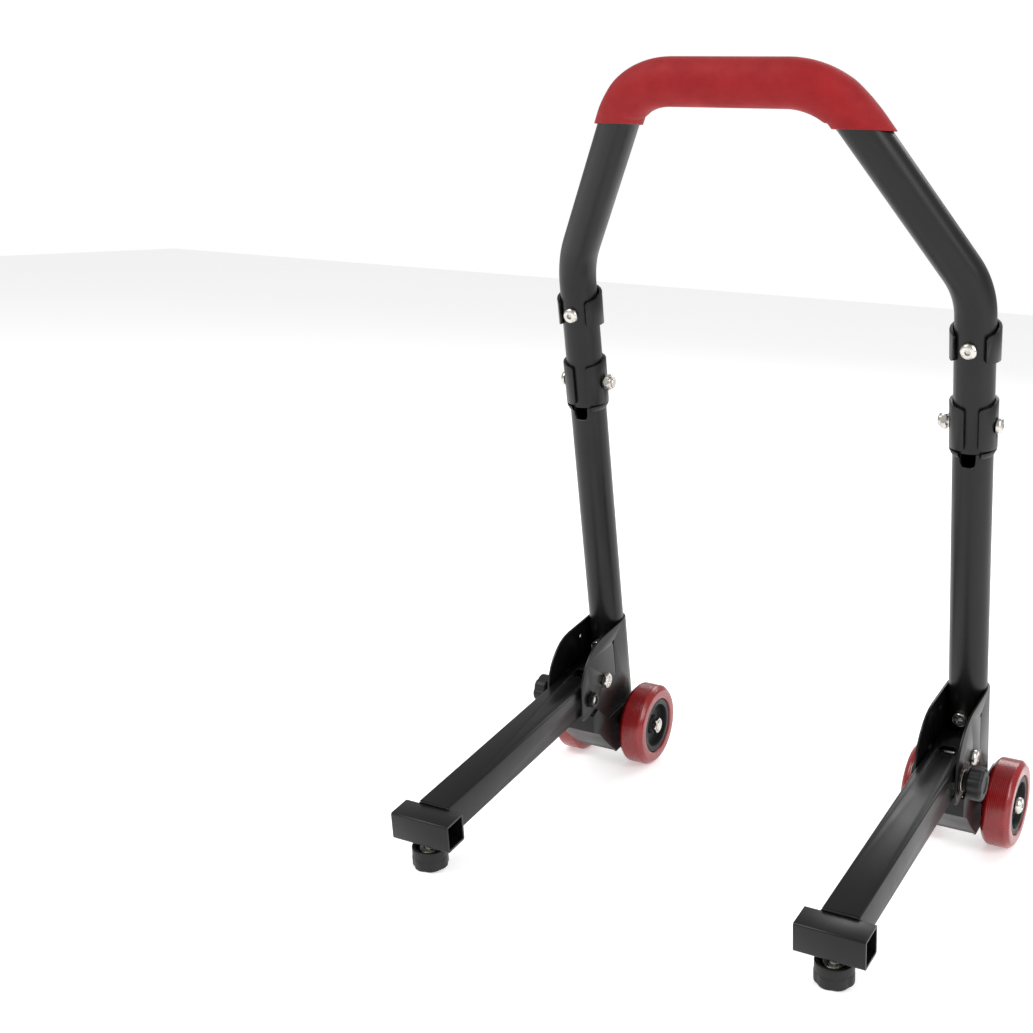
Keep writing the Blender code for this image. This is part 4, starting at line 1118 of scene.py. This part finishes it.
@dataclass
class ClampFoot:
    """Clamp knob under one receiver, which is also the front foot.

    Attributes:
        radius: reach of the knob's lobes.
        height: height of the knob.
        drop: receiver's middle to the knob's top.
        cup: radius and depth of the hollow in its top.
        count: number of lobes.
        depth: depth of the hollows between them, as a share of the radius.
    """

    stand: StandFrame
    wardrobe: Wardrobe
    name: str
    side: float
    radius: float = 0.0156
    height: float = 0.0180
    drop: float = 0.0185
    cup: tuple[float, float] = (0.0125, 0.0040)
    count: int = 7
    depth: float = 0.05

    def knob_points(self, segments: int = 168) -> np.ndarray:
        """Closed grid from the blind bore, up through the cup, round the lobed skirt, to the sole."""
        angles = polar(segments)
        top = -self.drop
        bottom = top - self.height
        cup_radius, cup_depth = self.cup
        floor = top - cup_depth
        bore = WASHER_BORE
        corners = [(bottom + cup_depth, 0.0), (bottom + cup_depth, bore), (floor, bore),
                   (floor, cup_radius * 0.82), (top, cup_radius), (top, self.radius * 0.97),
                   (top - self.height * 0.42, self.radius * 0.97),
                   (top - self.height * 0.52, self.radius), (bottom, self.radius), (bottom, 0.0)]
        stations = softened(corners, 0.0009, closed=False)
        lobed = (stations[:, 0] < top - self.height * 0.45) & (stations[:, 1] > self.radius * 0.5)
        factor = np.where(lobed[:, None], lobes(angles, self.count, self.depth)[None, :], 1.0)
        return turned(stations, angles, factor)

    def build(self) -> None:
        """Make the knob, its screw and its washer."""
        place = self.stand.leg(self.side) @ Matrix.Translation((0.0, -self.stand.receiver, 0.0))
        turn = Body.FOOT_TURN.value.format(side=self.name)
        slide = Body.FOOT_SLIDE.value.format(side=self.name)
        floor = -self.drop - self.cup[1]
        low = -self.drop - self.height + self.cup[1]
        tip = -0.0125 + 0.0030
        pieces = (
            ("clamp_knob", self.knob_points(), "foot_knob", "black_plastic", turn, False),
            ("clamp_screw", threaded(low, tip, SCREW_RADIUS, SCREW_PITCH), "foot_screw", "zinc_steel", turn, False),
            ("clamp_washer", ring(floor + GAP, floor + GAP + 0.0014, WASHER_BORE, 0.0085, 0.0003),
             "foot_washer", "zinc_steel", slide, True),
        )
        for name, points, node, slot, body, closed in pieces:
            piece = surface(f"{name}_{self.name}", moved(points, place), closed)
            finished(piece, self.wardrobe[slot], body, (f"{node}_{self.name}",), 32.0)


@dataclass
class Wheel:
    """One wheel: a soft red tread on a dished black hub.

    Attributes:
        radius: outer radius.
        width: width of the tread.
        seat: radius where the tread meets the hub.
        lip: width of the hub's rim, seen from the side.
        dish: depth of the hub's dish.
        boss: radius of its boss.
        bore: radius of its bore.
        offset: upright's middle to the wheel's middle.
        inner_end: where its boss meets the yoke.
    """

    stand: StandFrame
    wardrobe: Wardrobe
    name: str
    side: float
    place: str
    radius: float = 0.0402
    width: float = 0.0260
    seat: float = 0.0273
    lip: float = 0.0055
    dish: float = 0.0080
    boss: float = 0.0095
    bore: float = 0.0053
    offset: float = 0.0366
    inner_end: float = 0.0214

    def tread_points(self) -> np.ndarray:
        """Closed loop of the tread turned round the axle; fine ribs of 0.12 mm run round its face."""
        half = self.width / 2
        shoulder = self.radius - 0.0042
        flat = half - 0.0042
        corners = [(-half, self.seat + 0.0008), (-half, shoulder), (-flat, self.radius), (flat, self.radius),
                   (half, shoulder), (half, self.seat + 0.0008), (half - 0.0010, self.seat),
                   (-half + 0.0010, self.seat)]
        loop = softened(corners, 0.0016, closed=True, steps=6)
        across = np.linspace(-flat + 0.002, flat - 0.002, 81)
        face = np.column_stack((across, np.full_like(across, self.radius)))
        face[:, 1] -= 0.00006 * (1.0 + np.cos(TAU * across / 0.0016))
        split = int(np.argmax((loop[:, 0] > 0.0) & (loop[:, 1] > self.radius - 1e-6)))
        return turned(np.vstack((loop[:split], face, loop[split:])), polar(160))

    def hub_points(self) -> np.ndarray:
        """Closed loop of the hub turned round the axle, dished on both sides."""
        half = self.width / 2 - 0.0012
        rim = self.seat - GAP
        web = self.width / 2 - self.dish
        inner = self.inner_end - self.offset
        outer = self.width / 2 - self.dish / 2
        lip = rim - self.lip
        corners = [(inner, self.bore), (inner, self.boss * 0.85), (-web, self.boss), (-web, lip - 0.001),
                   (-half, lip), (-half, rim), (half, rim), (half, lip), (web, lip - 0.001),
                   (web, self.boss), (outer, self.boss * 0.85), (outer, self.bore)]
        return turned(softened(corners, 0.0008, closed=True, steps=4), polar(120))

    def build(self) -> None:
        """Make the tread and the hub."""
        away = Vector((self.side if self.place == "outer" else -self.side, 0.0, 0.0))
        middle = Vector((0.0, *self.stand.axle)) + away * self.offset
        matrix = self.stand.leg(self.side) @ facing(away, middle)
        body = f"{self.place}_wheel_{self.name}"
        for part, points, slot in (("tread", self.tread_points(), "red_urethane"),
                                   ("hub", self.hub_points(), "black_plastic")):
            piece = surface(f"{self.place}_{part}_{self.name}", moved(points, matrix), True)
            finished(piece, self.wardrobe[slot], body, (f"{body}_{part}",), 40.0)


# The studio

@dataclass
class Studio:
    """Floor, lights and camera.

    Attributes:
        floor_size: side of the square floor.
        focal: lens length in millimetres.
        eye, right, up: place and directions of the camera, in the drawing frame.
        shift: sideways and upward shift of its lens.
        floor_glow: how far the floor lights itself, to stay pale.
        air: strength of the white surroundings, as a light and as seen behind the stand.
    """

    stand: StandFrame
    floor_size: float = 12.0
    focal: float = 58.0
    shift: tuple[float, float] = (0.0047, 0.0014)
    floor_glow: float = 0.42
    air: tuple[float, float] = (0.50, 1.0)
    eye: tuple[float, float, float] = (0.5359, -1.3168, 0.7571)
    right: tuple[float, float, float] = (0.8597, 0.5070, -0.0620)
    up: tuple[float, float, float] = (-0.1388, 0.3487, 0.9269)

    def lamp(self, name: str, place: tuple[float, float, float], size: tuple[float, float],
             power: float) -> None:
        """Rectangular soft light aimed at the middle of the stand."""
        data = bpy.data.lights.new(name, "AREA")
        data.shape = "RECTANGLE"
        data.size, data.size_y = size
        data.energy = power
        lamp = bpy.data.objects.new(name, data)
        bpy.context.collection.objects.link(lamp)
        lamp.location = place
        aim = Vector((0.0, 0.0, 0.3)) - Vector(place)
        lamp.rotation_euler = aim.to_track_quat("-Z", "Y").to_euler()

    def build(self) -> None:
        """Set up the floor, the lights, the surroundings and the camera."""
        floor = surface("studio_floor", self.floor_points(), False, False)
        material = bpy.data.materials.new("studio_floor")
        material.use_nodes = True
        shader = material.node_tree.nodes["Principled BSDF"]
        shader.inputs["Base Color"].default_value = (0.90, 0.90, 0.90, 1.0)
        shader.inputs["Roughness"].default_value = 0.6
        shader.inputs["Emission Color"].default_value = (1.0, 1.0, 1.0, 1.0)
        shader.inputs["Emission Strength"].default_value = self.floor_glow
        floor.data.materials.append(material)
        self.lamp("key_light", (-1.6, -1.6, 2.6), (1.6, 1.6), 60.0)
        self.lamp("side_light", (2.2, -0.6, 1.6), (1.2, 2.0), 38.0)
        self.lamp("back_light", (0.2, 2.4, 2.0), (2.4, 1.2), 34.0)
        world = bpy.data.worlds.new("studio_air")
        bpy.context.scene.world = world
        world.use_nodes = True
        air = world.node_tree.nodes["Background"]
        air.inputs["Color"].default_value = (1.0, 1.0, 1.0, 1.0)
        seen = world.node_tree.nodes.new("ShaderNodeLightPath")
        strength = world.node_tree.nodes.new("ShaderNodeMapRange")
        strength.inputs["To Min"].default_value, strength.inputs["To Max"].default_value = self.air
        world.node_tree.links.new(seen.outputs["Is Camera Ray"], strength.inputs["Value"])
        world.node_tree.links.new(strength.outputs["Result"], air.inputs["Strength"])
        data = bpy.data.cameras.new("view")
        data.lens = self.focal
        data.sensor_width = 36.0
        data.shift_x, data.shift_y = self.shift
        camera = bpy.data.objects.new("view", data)
        bpy.context.collection.objects.link(camera)
        right, up = Vector(self.right).normalized(), Vector(self.up).normalized()
        away = right.cross(up).normalized()
        up = away.cross(right)
        turn = Matrix((right, up, away)).transposed().to_4x4()
        camera.matrix_world = self.stand.matrix @ Matrix.Translation(self.eye) @ turn
        bpy.context.scene.camera = camera
        bpy.context.scene.view_settings.view_transform = "Standard"

    def floor_points(self) -> np.ndarray:
        """Flat square grid a hair below the wheels."""
        side = np.linspace(-self.floor_size / 2, self.floor_size / 2, 9)
        x, y = np.meshgrid(side, side, indexing="xy")
        return np.stack((x, y, np.full_like(x, -0.0002)), axis=-1)


def main() -> None:
    """Build the stand's sub-assemblies in order, then the studio."""
    logging.basicConfig(level=logging.INFO, format="%(name)s: %(message)s")
    wardrobe = Wardrobe()
    stand = StandFrame.from_joints()
    HandleBow(stand, wardrobe).build()
    for name, side in SIDES:
        for assembly in (Upright, Splice, Bracket, Leg, Lock, ClampFoot):
            assembly(stand, wardrobe, name, side).build()
        for place in ("outer", "inner"):
            Wheel(stand, wardrobe, name, side, place).build()
    Studio(stand).build()


if __name__ == "__main__":
    main()
